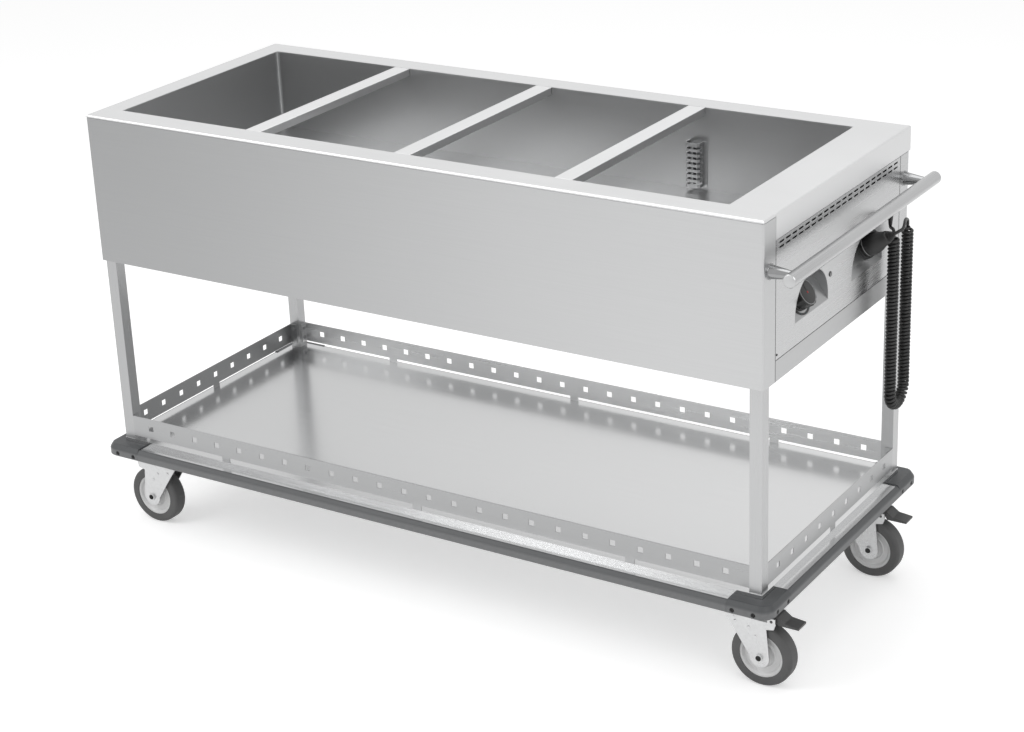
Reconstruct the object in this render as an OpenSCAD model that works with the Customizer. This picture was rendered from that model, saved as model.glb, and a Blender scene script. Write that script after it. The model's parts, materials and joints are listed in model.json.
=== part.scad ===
// Heated serving trolley: a long well with four bays in a sheet steel body, on four
// square legs over a shelf with a perforated gallery, a bumper and four casters.
// Length runs along X with the controls and the handle at +X, height along Z, floor at 0.

/* [Top frame] */
// Length of the worktop frame
top_l = 1515; // [1400:5:1700]
// Width of the worktop frame
top_w = 620; // [600:5:680]
// Height of the worktop above the floor
top_z = 927; // [900:1:1000]
// Thickness of the body sheet
sheet_t = 1.5; // [1:0.1:2]
// Height of the worktop's turned down edge
edge_h = 48; // [30:1:60]
// Radius of the worktop's bent edges
edge_r = 4; // [3:0.5:8]
// Rim left of the well
rim_left = 50; // [40:1:70]
// Rim right of the well, over the controls
rim_right = 93; // [80:1:120]
// Rim in front of the well and behind it
rim_side = 55; // [45:1:70]

/* [Body] */
// Height of the body below the worktop
body_h = 310; // [280:1:340]
// How far the left end stands in under the worktop's edge
inset_left = 2.5; // [2:0.1:5]
// How far the rear panel stands in under the worktop's edge
inset_rear = 5; // [2:0.1:8]
// Width of the front and rear panels' returns at the control end
return_w = 46; // [40:1:60]
// Height of the lower strip at the control end
strip_h = 40; // [30:1:60]
// Visible seam between neighbouring panels
seam = 0.8; // [0.5:0.1:1]
// Height of the lip that covers the front panel's top
lip_h = 5; // [4:0.5:8]

/* [Well] */
// Depth of the well below the worktop
well_d = 170; // [150:1:200]
// Radius of the well's upright corners
well_r = 8; // [4:1:20]
// Width of the well's flange under the worktop
well_flange = 12; // [8:1:20]

/* [Divider bars] */
// Width of a divider bar
bar_w = 36.4; // [30:0.2:45]
// Height of a divider bar's sides
bar_h = 16; // [12:1:25]
// End play of a divider bar between the well's walls
bar_play = 0.6; // [0.3:0.1:1]
// Length of the ledge that carries a divider bar's end
ledge_l = 26; // [20:1:30]
// Reach of that ledge into the well
ledge_d = 10; // [6:1:16]

/* [Probe] */
// Width of the probe guard
guard_w = 31; // [26:1:40]
// Height of the probe guard
guard_h = 92; // [80:1:110]
// Depth of the probe guard
guard_d = 20; // [16:1:26]
// Height of a slot in the probe guard
guard_slot_h = 5; // [3:0.5:6]
// Distance between the slots of the probe guard
guard_pitch = 10.5; // [9:0.5:11]
// Radius of the temperature probe
probe_r = 3; // [2:0.5:4]

/* [Controls] */
// Tilt of the control pockets above the horizontal, in degrees
tilt = 31; // [25:1:35]
// Width of a control pocket
pocket_w = 134; // [133:1:150]
// Height of a control pocket
pocket_h = 75; // [72:1:85]
// Radius of a pocket's upper corners
pocket_r = 66; // [40:1:70]
// Distance of a pocket's lower edge below the worktop
pocket_down = 226; // [212:1:237]
// Distance of the pockets' middle from the middle of the end
control_y = 119; // [110:1:125]
// Distance of the knob and the plug from the pocket's lower edge, along its floor
control_up = 36; // [32:1:40]
// How far the knob stands off its pocket's middle
knob_off = 22; // [10:1:26]
// How far the plug stands off its pocket's middle
plug_off = 26; // [10:1:28]
// Radius of the knob's skirt
knob_r = 27; // [22:1:30]
// Height of the knob's skirt
knob_skirt_h = 5; // [4:0.5:8]
// Radius of the knob's grip
knob_grip_r = 18; // [14:1:22]
// Height of the knob above its pocket
knob_h = 24; // [18:1:28]
// Radius of the thermostat's shaft
shaft_r = 3; // [2:0.5:4]
// Slots in each of the two rows of vents
vent_n = 20; // [12:1:22]
// Distance between neighbouring vents
vent_pitch = 25.45; // [24:0.05:28]
// Length of a vent
vent_l = 18; // [12:1:20]
// Height of a vent
vent_h = 3.5; // [3:0.5:5]
// Distance between the two rows of vents
vent_row = 9; // [7:1:12]
// Radius of the pilot lamp
lamp_r = 4.5; // [3:0.5:8]

/* [Handle] */
// Diameter of the handle bar
handle_d = 25; // [20:1:32]
// Length of the handle bar
handle_l = 631; // [560:1:680]
// Distance of the handle bar's axis below the worktop
handle_down = 97.6; // [67:0.1:110]
// Distance of the handle bar's axis from the end panel
handle_reach = 49.4; // [40:0.1:70]
// Distance between the two handle posts
post_span = 570; // [540:1:590]
// Radius of a post at the panel
post_r = 13; // [10:0.5:16]
// Radius of a post at the bar
post_tip_r = 6.5; // [5:0.5:9]

/* [Legs and shelf] */
// Side of a square leg
leg_w = 25; // [20:1:40]
// Wall of a leg
leg_t = 1.5; // [1.5:0.1:3]
// Distance of the legs' outer faces from the worktop's ends
leg_in_x = 5.2; // [3:0.1:12]
// Distance of the legs' outer faces from the worktop's sides
leg_in_y = 7.5; // [7:0.1:14]
// Height of the shelf above the floor
shelf_z = 214.2; // [200:0.1:240]
// Length of the shelf plate
shelf_l = 1549.8; // [1535:0.1:1650]
// Width of the shelf plate
shelf_w = 652.6; // [640:0.1:720]
// Height of the gallery rails
rail_h = 45; // [35:1:60]
// Height of the shelf's raised deck above its rim
rim_drop = 9.6; // [6:0.1:14]
// Gap between the gallery rails and the shelf
rail_gap = 9.2; // [6:0.1:14]
// Thickness of the gallery rails
rail_t = 1.5; // [1:0.1:2]
// Side of the square holes in the rails
rail_hole = 12; // [8:1:16]
// Distance between the holes of a rail
rail_pitch = 59.1; // [50:0.1:70]
// Width of a rail's feet
rail_foot = 20; // [15:1:30]

/* [Bumper] */
// Thickness of the bumper outside the shelf
bumper_t = 9.4; // [8:0.1:16]
// Height of the bumper
bumper_h = 23.1; // [20:0.1:30]
// Radius of the bumper's corners
corner_r = 25; // [18:1:45]
// Reach of a corner piece along the long side
corner_x = 87.3; // [85:0.1:120]
// Reach of a corner piece along the short side
corner_y = 88.5; // [85:0.1:120]
// Height of the corner pieces above the shelf's rim
corner_lap = 2.2; // [1:0.1:5]

/* [Casters] */
// Wheel diameter
wheel_d = 125; // [100:5:125]
// Width of the tyre
tyre_w = 32.5; // [26:0.5:36]
// Radius of the grey wheel disc
disc_r = 44.2; // [30:0.2:46]
// Distance of the wheel's axle behind the swivel axis
trail = 36; // [30:1:40]
// Half the distance between the swivel axes along the trolley
swivel_x = 694; // [660:1:700]
// Half the distance between the swivel axes across the trolley
swivel_y = 244.5; // [220:0.5:246]
// Radius of the wheel bolt
bolt_r = 5; // [4:0.5:6]
// Overall height of a caster
caster_h = 160; // [158:1:170]
// Thickness of the fork's steel
fork_t = 2.5; // [2:0.5:3]

/* [Cord] */
// Diameter of the cord
cord_d = 5; // [4:0.1:5]
// Radius of the curls, at the middle of the cord
curl_r = 9; // [8:0.1:9.5]
// Curls in the whole cord
curl_n = 84; // [60:1:84]
// Radius of the plug's collar
plug_r = 21.5; // [18:0.5:24]
// Length of the plug
plug_l = 63; // [55:1:70]

/* [Hidden] */
$fn = 64;

// One overrun for all cuts and one running clearance for all shafts
over = sheet_t;
run_fit = 0.05;
rest_gap = 0.3;

// Body levels and faces
half_l = top_l / 2;
half_w = top_w / 2;
edge_z = top_z - edge_h;
body_z = top_z - body_h;
left_x = -half_l + inset_left;
rear_y = half_w - inset_rear;
panel_top = top_z - sheet_t;
well_x0 = -half_l + rim_left;
well_x1 = half_l - rim_right;
well_l = well_x1 - well_x0;
well_y = half_w - rim_side;
well_z = top_z - well_d;
bay_l = (well_l - 3 * bar_w) / 4;
bar_pitch = bay_l + bar_w;
return_front = -half_w + return_w;
return_rear = half_w - return_w;
strip_z = body_z + strip_h;

// Handle and frame shift: the origin lies under the middle of the whole length
handle_x = half_l + handle_reach;
handle_z = top_z - handle_down;
outer_x = shelf_l / 2 + bumper_t;
outer_y = shelf_w / 2 + bumper_t;
shift_x = -(handle_x + handle_d / 2 - outer_x) / 2;

// Legs
leg_x = half_l - leg_in_x - leg_w / 2;
leg_y = half_w - leg_in_y - leg_w / 2;
rail_x = half_l - leg_in_x - rail_t / 2;
rail_y = half_w - leg_in_y - rail_t / 2;
rail_z = shelf_z + rail_gap;

// Control pockets: the floor is square to the tilted axis and meets the panel at pocket_z
pocket_z = top_z - pocket_down;
pocket_x = half_l - control_up * sin(tilt);
pocket_zc = pocket_z + control_up * cos(tilt);
knob_y = -control_y - knob_off;
plug_y = control_y + plug_off;
vent_drop = 8;
vent_z = edge_z - vent_drop;
lamp_y = -42.3;
lamp_up = 43.8;
lamp_z = pocket_z + lamp_up;
socket_r = 23;
socket_h = 6;
// Outline of the plug as shares of its collar radius and its length
plug_shares = [[0, 0], [1, 0], [1, 0.04], [0.93, 0.05], [0.93, 0.08], [1, 0.09], [1, 0.3],
    [0.93, 0.42], [0.74, 0.56], [0.62, 0.66], [0.58, 0.78], [0.5, 0.82], [0.36, 0.84],
    [0.26, 1], [0, 1]];

// Casters
wheel_r = wheel_d / 2;
fork_play = 3.75;
fork_gap = tyre_w / 2 + fork_play;
fork_y = fork_gap + fork_t;
plate_l = 105;
plate_w = 85;
plate_t = 3;
plate_z = caster_h - plate_t;
race_r = 26;
race_t = 7;
crown_t = 3;
crown_drop = 23.5;
crown_z = caster_h - crown_drop;
crown_top = crown_z + crown_t;
king_r = 6;
king_head_r = 9;
king_head_h = 3;
fork_front = 33;
fork_back = 68;
fork_ear_x = 50;
fork_ear_z = 124;
fork_foot_r = 20;
nut_r = 8;
nut_h = 4;
hub_r = 13;
hub_web = 9;
rim_t = 4;
tyre_round = 7;
pedal_x = 60;
pedal_z = 143;
pedal_pin_r = 3;
pedal_w = 32;
// Outline of the pedal from its pin: heel, riser and toe plate
pedal_outline = [[-6, 0], [-5, 9], [10, 9], [24, -1], [52, -4], [52, -8], [11, -8], [6, 0]];

// Beams under the shelf that carry the casters
beam_w = 112;
beam_t = 2;
beam_half = swivel_y + plate_w / 2 - beam_t;
deck_t = sheet_t;
deck_margin = 2;
deck_r = 4;
deck_l = 2 * (half_l - leg_in_x + deck_margin);
deck_w = 2 * (half_w - leg_in_y + deck_margin);
rim_z = shelf_z - rim_drop;

// Gallery rails
rail_end = 16;
rail_long = 2 * (leg_x - leg_w / 2);
rail_short = 2 * (leg_y - leg_w / 2);
rail_n_long = 24;
rail_n_short = 9;
rail_foot_share = 0.66;
rail_feet_x = [-rail_foot_share * rail_long / 2, 0, rail_foot_share * rail_long / 2];

// Bumper
bumper_bevel = 3;
bumper_slope = 8.6;
bumper_face_z = rim_z - (bumper_slope + bumper_h) / 2;
bumper_screw_x = [33, 75.5];
bumper_screw_y = [34, 77];

// Probe guard
guard_x = 329.5;
guard_up = 8;
guard_z = well_z + guard_up;
guard_t = 1;
guard_rim = 8;
guard_bevel = 4;
guard_first = 6;
guard_n = 8;
probe_l = 74;

// Small fittings
screw_r = 4;
screw_h = 1.5;
screw_sink = 2;
gland_y = 186;
gland_up = 85;
gland_z = pocket_z + gland_up;
gland_r = 10;
drain_x = 600;
drain_r = 13;
valve_r = 19;
valve_l = 34;
spout_l = 22;
valve_down = 17;
valve_z = body_z - valve_down;
stem_r = 4;
stem_l = 12;
lever_l = 92;
lever_w = 15;
lever_t = 3;
element_r = 4;
element_y = 120;
element_bend = 30;
panel_fold = 12;
landing_w = 14;
thermo_w = 44;
thermo_l = 40;
bezel_r = 35;
bezel_t = 1;
bezel_w = 4;
gland_out = 16;
gland_drop = 16;
gland_share = 0.7;
fold_h = 15;
panel_up = edge_z + panel_fold;
tray_h = 15;
ear_w = 16;
ear_top = pedal_z + 2 * pedal_pin_r;
hub_play = rest_gap;

// Cord: the coil hangs in one loop off the panel, its two runs at coil_y0 and coil_y1
coil_out = 32.5;
coil_x = half_l + coil_out;
coil_y0 = 166;
coil_y1 = 230;
coil_up = 41;
coil_top = pocket_z + coil_up;
coil_hang = 304;
coil_low = coil_top - coil_hang;
coil_bend = (coil_y1 - coil_y0) / 2;
coil_run = coil_top - coil_low;
coil_l = 2 * coil_run + PI * coil_bend;
curl_rings = 8;
curl_sides = 6;
cord_sides = 8;
// Points of the plain stretches: out from the panel, across, and up from the pocket's lower edge
lead_points = [[48.5, 149, 72], [52.5, 158, 74], [51.5, 169, 73], [46.5, 181, 70], [41.5, 193, 67],
    [37.5, 205, 64], [34.5, 216, 60], [32.5, 225, 54]];
tail_points = [[17.5, 184, 57], [21.5, 179, 52], [27.5, 172, 49]];

// Moves a piece from the body's own middle to the part's origin
module placed() {
    translate([shift_x, 0, 0]) children();
}

// A block between two corners
module block(a, b) {
    translate(a) cube(b - a);
}

// A rectangle with round corners, about its middle
module round_rect(l, w, r) {
    square([l - 2 * r, w], center = true);
    square([l, w - 2 * r], center = true);
    for (sx = [-1, 1], sy = [-1, 1])
        translate([sx * (l / 2 - r), sy * (w / 2 - r)]) circle(r);
}

// A bar profile with both top corners round, from a0 to a1 and z0 to z1
module arch(a0, a1, z0, z1, r) {
    translate([a0, z0]) square([a1 - a0, z1 - z0 - r]);
    translate([a0 + r, z0]) square([a1 - a0 - 2 * r, z1 - z0]);
    for (a = [a0 + r, a1 - r]) intersection() {
        translate([a, z1 - r]) circle(r);
        translate([a0, z0]) square([a1 - a0, z1 - z0]);
    }
}

// A box folded from sheet: its long and its short edges are both bent with radius r
module folded_box(a, b, r) {
    intersection() {
        translate([0, b[1], 0]) rotate([90, 0, 0]) linear_extrude(b[1] - a[1])
            arch(a[0], b[0], a[2], b[2], r);
        translate([a[0], 0, 0]) rotate([90, 0, 90]) linear_extrude(b[0] - a[0])
            arch(a[1], b[1], a[2], b[2], r);
    }
}

// Puts a piece square on a control pocket's floor, at y, with its own +Z along the tilted axis
module on_pocket(y) {
    translate([pocket_x, y, pocket_zc]) rotate([0, 90 - tilt, 0]) children();
}

// Worktop frame with its turned down edges
module top_frame() {
    color("gainsboro") placed() difference() {
        folded_box([-half_l, -half_w, edge_z], [half_l, half_w, top_z], edge_r);
        folded_box([-half_l + sheet_t, -half_w + sheet_t, edge_z - over],
            [half_l - sheet_t, half_w - sheet_t, panel_top], edge_r - sheet_t);
        block([well_x0, -well_y, edge_z], [well_x1, well_y, top_z + over]);
        block([-half_l - over, -half_w - over, edge_z - over],
            [half_l + over, -half_w + sheet_t + over, top_z - lip_h]);
        block([half_l - sheet_t - over, -half_w - over, edge_z - over],
            [half_l + over, return_front, top_z - lip_h]);
    }
}

// Long well, hung under the worktop by its flange, with the divider bars' ledges
module basin() {
    color("silver") placed() {
        translate([(well_x0 + well_x1) / 2, 0, 0]) difference() {
            union() {
                translate([0, 0, well_z - sheet_t]) linear_extrude(panel_top - well_z + sheet_t)
                    round_rect(well_l + 2 * sheet_t, 2 * (well_y + sheet_t), well_r + sheet_t);
                translate([0, 0, panel_top - sheet_t]) linear_extrude(sheet_t)
                    square([well_l + 2 * well_flange, 2 * (well_y + well_flange)], center = true);
            }
            translate([0, 0, well_z]) linear_extrude(well_d) round_rect(well_l, 2 * well_y, well_r);
            translate([drain_x - (well_x0 + well_x1) / 2, 0, well_z - sheet_t - over])
                cylinder(h = sheet_t + 2 * over, r = drain_r - sheet_t);
        }
        for (i = [1:3], s = [-1, 1]) translate([bar_x(i), s * well_y, 0]) ledge(s);
    }
}

// Angle ledge on the well's wall, under the web of a divider bar
module ledge(s) {
    y0 = s > 0 ? -ledge_d : 0;
    translate([-ledge_l / 2, y0, top_z - sheet_t - sheet_t]) cube([ledge_l, ledge_d, sheet_t]);
    y1 = s > 0 ? -sheet_t : 0;
    translate([-ledge_l / 2, y1, top_z - bar_h]) cube([ledge_l, sheet_t, bar_h - 2 * sheet_t]);
}

// Place of a divider bar along the well
function bar_x(i) = well_x0 + i * bar_pitch - bar_w / 2;

// Lift-out divider bar, a channel with its web on top
module divider_bar(i) {
    color("gainsboro") placed() translate([bar_x(i), 0, 0]) difference() {
        folded_box([-bar_w / 2, -well_y + bar_play, top_z - bar_h],
            [bar_w / 2, well_y - bar_play, top_z], sheet_t);
        block([-bar_w / 2 + sheet_t, -half_w, top_z - bar_h - over],
            [bar_w / 2 - sheet_t, half_w, top_z - sheet_t]);
    }
}

// Front panel with its return at the control end and the fold that the lip covers
module front_panel() {
    color("lightgray") placed() {
        block([left_x, -half_w, body_z], [half_l - edge_r, -half_w + sheet_t, top_z - lip_h - seam]);
        block([left_x + sheet_t, -half_w + sheet_t, top_z - fold_h],
            [half_l - 2 * edge_r, -half_w + 2 * sheet_t, panel_top - edge_r + sheet_t]);
        translate([half_l - edge_r, -half_w + edge_r, body_z]) rotate([0, 0, -90])
            rotate_extrude(angle = 90) translate([edge_r - sheet_t, 0])
            square([sheet_t, top_z - lip_h - seam - body_z]);
        block([half_l - sheet_t, -half_w + edge_r, body_z],
            [half_l, return_front - seam, top_z - lip_h - seam]);
        block([half_l - 2 * sheet_t, return_front - landing_w, strip_z + panel_fold],
            [half_l - sheet_t, return_front + landing_w, edge_z - panel_fold]);
    }
}

// Rear panel with its return at the control end
module rear_panel() {
    color("lightgray") placed() {
        block([left_x + sheet_t, rear_y - sheet_t, body_z], [half_l - edge_r, rear_y, edge_z - seam]);
        block([left_x + sheet_t, rear_y - sheet_t, edge_z - seam], [half_l - 2 * edge_r, rear_y, panel_up]);
        translate([half_l - edge_r, rear_y - edge_r, body_z]) rotate_extrude(angle = 90)
            translate([edge_r - sheet_t, 0]) square([sheet_t, edge_z - seam - body_z]);
        block([half_l - sheet_t, return_rear + seam, body_z],
            [half_l, rear_y - edge_r, edge_z - seam]);
        block([half_l - 2 * sheet_t, return_rear - landing_w, strip_z + panel_fold],
            [half_l - sheet_t, return_rear + landing_w, edge_z - panel_fold]);
    }
}

// Plain panel at the left end, between the front and the rear panel
module left_end_panel() {
    color("lightgray") placed()
        block([left_x, -half_w + sheet_t, body_z], [left_x + sheet_t, rear_y, panel_up]);
}

// Panel at the control end with two rows of vents, openings for the pockets and the cord
module control_panel() {
    color("lightgray") placed() difference() {
        union() {
            block([half_l - sheet_t, return_front, strip_z + seam],
                [half_l, return_rear, edge_z - seam]);
            for (z = [strip_z + seam, edge_z - seam - sheet_t])
                block([half_l - panel_fold, return_front + landing_w, z],
                    [half_l, return_rear - landing_w, z + sheet_t]);
        }
        for (i = [0:vent_n - 1], row = [0, 1])
            translate([half_l - sheet_t - over, (i - (vent_n - 1) / 2) * vent_pitch,
                vent_z - row * vent_row]) rotate([90, 0, 90])
                linear_extrude(sheet_t + 2 * over) slot(vent_l, vent_h);
        for (s = [-1, 1]) translate([over, 0, 0]) pocket_bar(s, sheet_t);
        translate([half_l - sheet_t - over, lamp_y, lamp_z]) rotate([0, 90, 0])
            cylinder(h = sheet_t + 2 * over, r = lamp_r);
        translate([half_l - sheet_t - over, gland_y, gland_z]) rotate([0, 90, 0])
            cylinder(h = sheet_t + 2 * over, r = cord_d);
    }
}

// A slot with round ends, about its middle
module slot(l, h) {
    square([l - h, h], center = true);
    for (s = [-1, 1]) translate([s * (l - h) / 2, 0]) circle(h / 2);
}

// A bar along X with the outline of a control pocket, grown by g all round
module pocket_bar(s, g) {
    translate([half_l - 2 * control_up, 0, 0]) rotate([90, 0, 90]) linear_extrude(2 * control_up)
        arch(s * control_y - pocket_w / 2 - g, s * control_y + pocket_w / 2 + g,
            pocket_z - g, pocket_z + pocket_h + g, pocket_r + g);
}

// Everything in front of a plane that lies dz above a pocket's floor
module above_floor(s, dz) {
    on_pocket(s * control_y) translate([-pocket_w, -pocket_w, dz])
        cube([2 * pocket_w, 2 * pocket_w, pocket_w]);
}

// Two pockets with tilted floors, for the knob and for the parked plug
module control_pockets() {
    color("silver") placed() difference() {
        for (s = [-1, 1]) intersection() {
            pocket_bar(s, sheet_t);
            above_floor(s, -sheet_t);
        }
        for (s = [-1, 1]) intersection() {
            translate([over, 0, 0]) pocket_bar(s, 0);
            above_floor(s, 0);
        }
        on_pocket(knob_y) translate([0, 0, -sheet_t - over])
            cylinder(h = sheet_t + 2 * over, r = shaft_r + sheet_t);
        on_pocket(plug_y) translate([0, 0, -sheet_t - over])
            cylinder(h = sheet_t + 2 * over, r = shaft_r + sheet_t / 2);
    }
}

// Thermostat behind the knob's pocket, with its shaft through the floor
module thermostat() {
    color("dimgray") placed() on_pocket(knob_y) {
        translate([-thermo_w / 2, -thermo_w / 2, -sheet_t - thermo_l])
            cube([thermo_w, thermo_w, thermo_l]);
        translate([0, 0, -thermo_l]) cylinder(h = thermo_l + knob_h - knob_skirt_h, r = shaft_r);
        difference() {
            cylinder(h = bezel_t, r = bezel_r);
            translate([0, 0, -over]) cylinder(h = bezel_t + 2 * over, r = bezel_r - bezel_w);
        }
    }
}

// Knob with its skirt, grip and pointer rib
module knob() {
    color("black") placed() on_pocket(knob_y) difference() {
        union() {
            translate([0, 0, rest_gap]) cylinder(h = knob_skirt_h - rest_gap, r = knob_r);
            cylinder_cap(knob_grip_r, knob_skirt_h, knob_h);
            translate([-knob_r + sheet_t, -sheet_t, knob_skirt_h])
                cube([knob_r - sheet_t, 2 * sheet_t, knob_skirt_h]);
        }
        cylinder(h = knob_h - knob_skirt_h + rest_gap, r = shaft_r + run_fit);
    }
}

// A short round bar from z0 to z1 with a bevelled top
module cylinder_cap(r, z0, z1) {
    rotate_extrude() polygon([[0, z0], [r, z0], [r - over / 2, z1 - over], [r - 2 * over, z1], [0, z1]]);
}

// Pilot lamp
module pilot_lamp() {
    color("black") placed() translate([half_l - thermo_l / 2, lamp_y, lamp_z]) rotate([0, 90, 0]) {
        cylinder(h = thermo_l / 2 + over, r = lamp_r);
        translate([0, 0, thermo_l / 2]) cylinder(h = over / 2, r = lamp_r + over / 2);
    }
}

// Dummy socket on the right pocket's floor, which parks the plug
module parking_socket() {
    color("black") placed() on_pocket(plug_y) {
        translate([0, 0, -thermo_l / 2]) cylinder(h = (thermo_l + socket_h) / 2, r = shaft_r + sheet_t / 2);
        difference() {
            cylinder(h = socket_h, r = socket_r);
            translate([0, 0, socket_h / 2]) cylinder(h = socket_h, r = socket_r - 2 * sheet_t);
        }
    }
}

// Parked plug: collar, body that draws in to the neck, and a ribbed bend relief
module plug() {
    color("black") placed() on_pocket(plug_y) {
        translate([0, 0, socket_h]) rotate_extrude() polygon([for (p = plug_shares)
            [p[0] * plug_r, p[1] * plug_l]]);
        translate([0, 0, socket_h / 2 + rest_gap]) cylinder(h = socket_h / 2, r = socket_r - 3 * sheet_t);
    }
}

// Cable gland with an elbow that lets the cord out downwards
module cord_gland() {
    color("black") placed() translate([half_l, gland_y, gland_z]) {
        rotate([0, 90, 0]) cylinder(h = gland_r / 2, r = gland_r, $fn = 6);
        translate([-gland_r, 0, 0]) rotate([0, 90, 0]) cylinder(h = gland_r, r = cord_d - run_fit);
        translate([gland_r / 2, 0, 0]) rotate([0, 90, 0]) cylinder(h = gland_out - gland_r / 2, r = cord_d);
        translate([gland_out, 0, 0]) sphere(cord_d);
        translate([gland_out, 0, -gland_drop]) cylinder(h = gland_drop, r1 = gland_share * cord_d, r2 = cord_d, $fn = 64);
    }
}

// Tray that closes the body below, with the lower strip at the control end
module bottom_cover() {
    x0 = left_x + sheet_t;
    y0 = -half_w + sheet_t;
    y1 = rear_y - sheet_t;
    x1 = half_l - sheet_t;
    color("lightgray") placed() difference() {
        union() {
            block([x0, y0, body_z], [x1, y1, body_z + sheet_t]);
            block([x0, y0, body_z], [x0 + sheet_t, y1, body_z + tray_h]);
            block([x0, y0, body_z], [x1 - edge_r, y0 + sheet_t, body_z + tray_h]);
            block([x0, y1 - sheet_t, body_z], [x1 - edge_r, y1, body_z + tray_h]);
            block([x1 - sheet_t, return_front, body_z], [x1 + sheet_t, return_rear, body_z + sheet_t]);
            block([x1, return_front, body_z], [half_l, return_rear, strip_z]);
        }
        translate([drain_x, 0, body_z - over]) cylinder(h = sheet_t + 2 * over, r = drain_r + seam);
        for (y = [-half_w, rear_y]) translate([x1, y, body_z - over])
            cylinder(h = tray_h, r = edge_r);
    }
}

// Tubular heaters under the well's floor, one hairpin under each bay
module heating_element() {
    z = well_z - sheet_t - element_r - rest_gap;
    color("dimgray") placed() for (i = [0:3]) {
        x = well_x0 + bay_l / 2 + i * bar_pitch;
        translate([x, 0, z]) {
            for (s = [-1, 1]) translate([s * element_bend, 0, 0]) rotate([90, 0, 0])
                cylinder(h = 2 * element_y, r = element_r, center = true);
            translate([0, element_y, 0]) rotate_extrude(angle = 180)
                translate([element_bend, 0]) circle(element_r);
        }
    }
}

// Slotted guard over the probe on the well's rear wall
module probe_guard() {
    color("silver") placed() translate([guard_x, well_y, guard_z]) difference() {
        union() {
            translate([0, 0, guard_h / 2]) cube([guard_w + 2 * guard_rim, 2 * guard_t, guard_h], center = true);
            linear_extrude(guard_h) guard_outline(0);
        }
        translate([0, 0, -over]) linear_extrude(guard_h + 2 * over) guard_outline(guard_t);
        translate([-guard_w, 0, -over]) cube([2 * guard_w, guard_d, guard_h + 2 * over]);
        for (i = [0:guard_n - 1]) translate([-guard_w, -guard_d - over, guard_first + i * guard_pitch])
            cube([2 * guard_w, guard_d - guard_rim / 2, guard_slot_h]);
    }
}

// Outline of the guard, its front narrowed by a bevel on each side
module guard_outline(g) {
    w = guard_w / 2 - g;
    d = guard_d - g;
    polygon([[-w, over], [-w, -d + guard_bevel], [-w + guard_bevel, -d], [w - guard_bevel, -d],
        [w, -d + guard_bevel], [w, over]]);
}

// Temperature probe behind the guard, held by a stub from the well's wall
module probe() {
    color("gray") placed() translate([guard_x, well_y - guard_d / 2, guard_z + guard_first]) {
        cylinder(h = probe_l, r = probe_r);
        translate([0, 0, probe_l - 2 * probe_r]) rotate([-90, 0, 0])
            cylinder(h = guard_d / 2, r = probe_r / 2);
    }
}

// Square leg from the shelf to the body
module leg(sx, sy) {
    color("silver") placed() translate([sx * leg_x, sy * leg_y, shelf_z])
        linear_extrude(body_z - shelf_z) difference() {
            square(leg_w, center = true);
            square(leg_w - 2 * leg_t, center = true);
        }
}

// Raised deck, smaller by g on every side
module deck_form(g) {
    translate([0, 0, rim_z - deck_t - over]) linear_extrude(rim_drop + deck_t + over - g)
        round_rect(deck_l - 2 * g, deck_w - 2 * g, deck_r - g);
}

// Shelf plate: a raised deck under legs and rails, a rim, and edges turned down behind the bumper
module shelf() {
    r = corner_r - bumper_t;
    color("gainsboro") placed() difference() {
        union() {
            translate([0, 0, rim_z - bumper_h]) linear_extrude(bumper_h) round_rect(shelf_l, shelf_w, r);
            deck_form(0);
        }
        translate([0, 0, rim_z - bumper_h - over]) linear_extrude(bumper_h - deck_t + over)
            round_rect(shelf_l - 2 * deck_t, shelf_w - 2 * deck_t, r - deck_t);
        deck_form(deck_t);
    }
}

// Channel under the shelf that carries two casters
module cross_beam(sx) {
    color("gray") placed() difference() {
        block([sx * swivel_x - beam_w / 2, -beam_half, caster_h],
            [sx * swivel_x + beam_w / 2, beam_half, shelf_z - deck_t]);
        block([sx * swivel_x - beam_w / 2 + beam_t, -beam_half - over, caster_h + beam_t],
            [sx * swivel_x + beam_w / 2 - beam_t, beam_half + over, shelf_z]);
    }
}

// Gallery rail along X or Y: a plate with square holes, feet and a turned end at each leg
module rail(l, n, feet) {
    difference() {
        union() {
            translate([-l / 2, -rail_t / 2, rail_z]) cube([l, rail_t, rail_h]);
            for (x = feet) translate([x - rail_foot / 2, -rail_t / 2, shelf_z])
                cube([rail_foot, rail_t, rail_gap]);
            for (s = [-1, 1]) translate([s * (l - rail_t) / 2 - rail_t / 2, 0, rail_z])
                cube([rail_t, rail_end, rail_h]);
        }
        for (i = [0:n - 1]) translate([(i - (n - 1) / 2) * rail_pitch - rail_hole / 2, -rail_t,
            rail_z + (rail_h - rail_hole) / 2]) cube([rail_hole, 2 * rail_t, rail_hole]);
    }
}

module rail_front() {
    color("silver") placed() translate([0, -rail_y, 0]) rail(rail_long, rail_n_long, rail_feet_x);
}

module rail_rear() {
    color("silver") placed() translate([0, rail_y, 0]) rotate([0, 0, 180])
        rail(rail_long, rail_n_long, rail_feet_x);
}

module rail_left() {
    color("silver") placed() translate([-rail_x, 0, 0]) rotate([0, 0, -90])
        rail(rail_short, rail_n_short, [0]);
}

module rail_right() {
    color("silver") placed() translate([rail_x, 0, 0]) rotate([0, 0, 90])
        rail(rail_short, rail_n_short, [0]);
}

// Two screws through each turned rail end into its leg
module rail_screws() {
    color("dimgray") placed() for (sx = [-1, 1], sy = [-1, 1], k = [-1, 1]) {
        z = rail_z + rail_h / 2 + k * rail_h / 4;
        translate([sx * (rail_long / 2 - rail_t), sy * (rail_y - rail_end / 2), z])
            rotate([0, -sx * 90, 0]) cylinder(h = screw_h, r = screw_r);
        translate([sx * (rail_x - rail_end / 2), sy * (rail_short / 2 - rail_t), z])
            rotate([sy * 90, 0, 0]) cylinder(h = screw_h, r = screw_r);
    }
}

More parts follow.
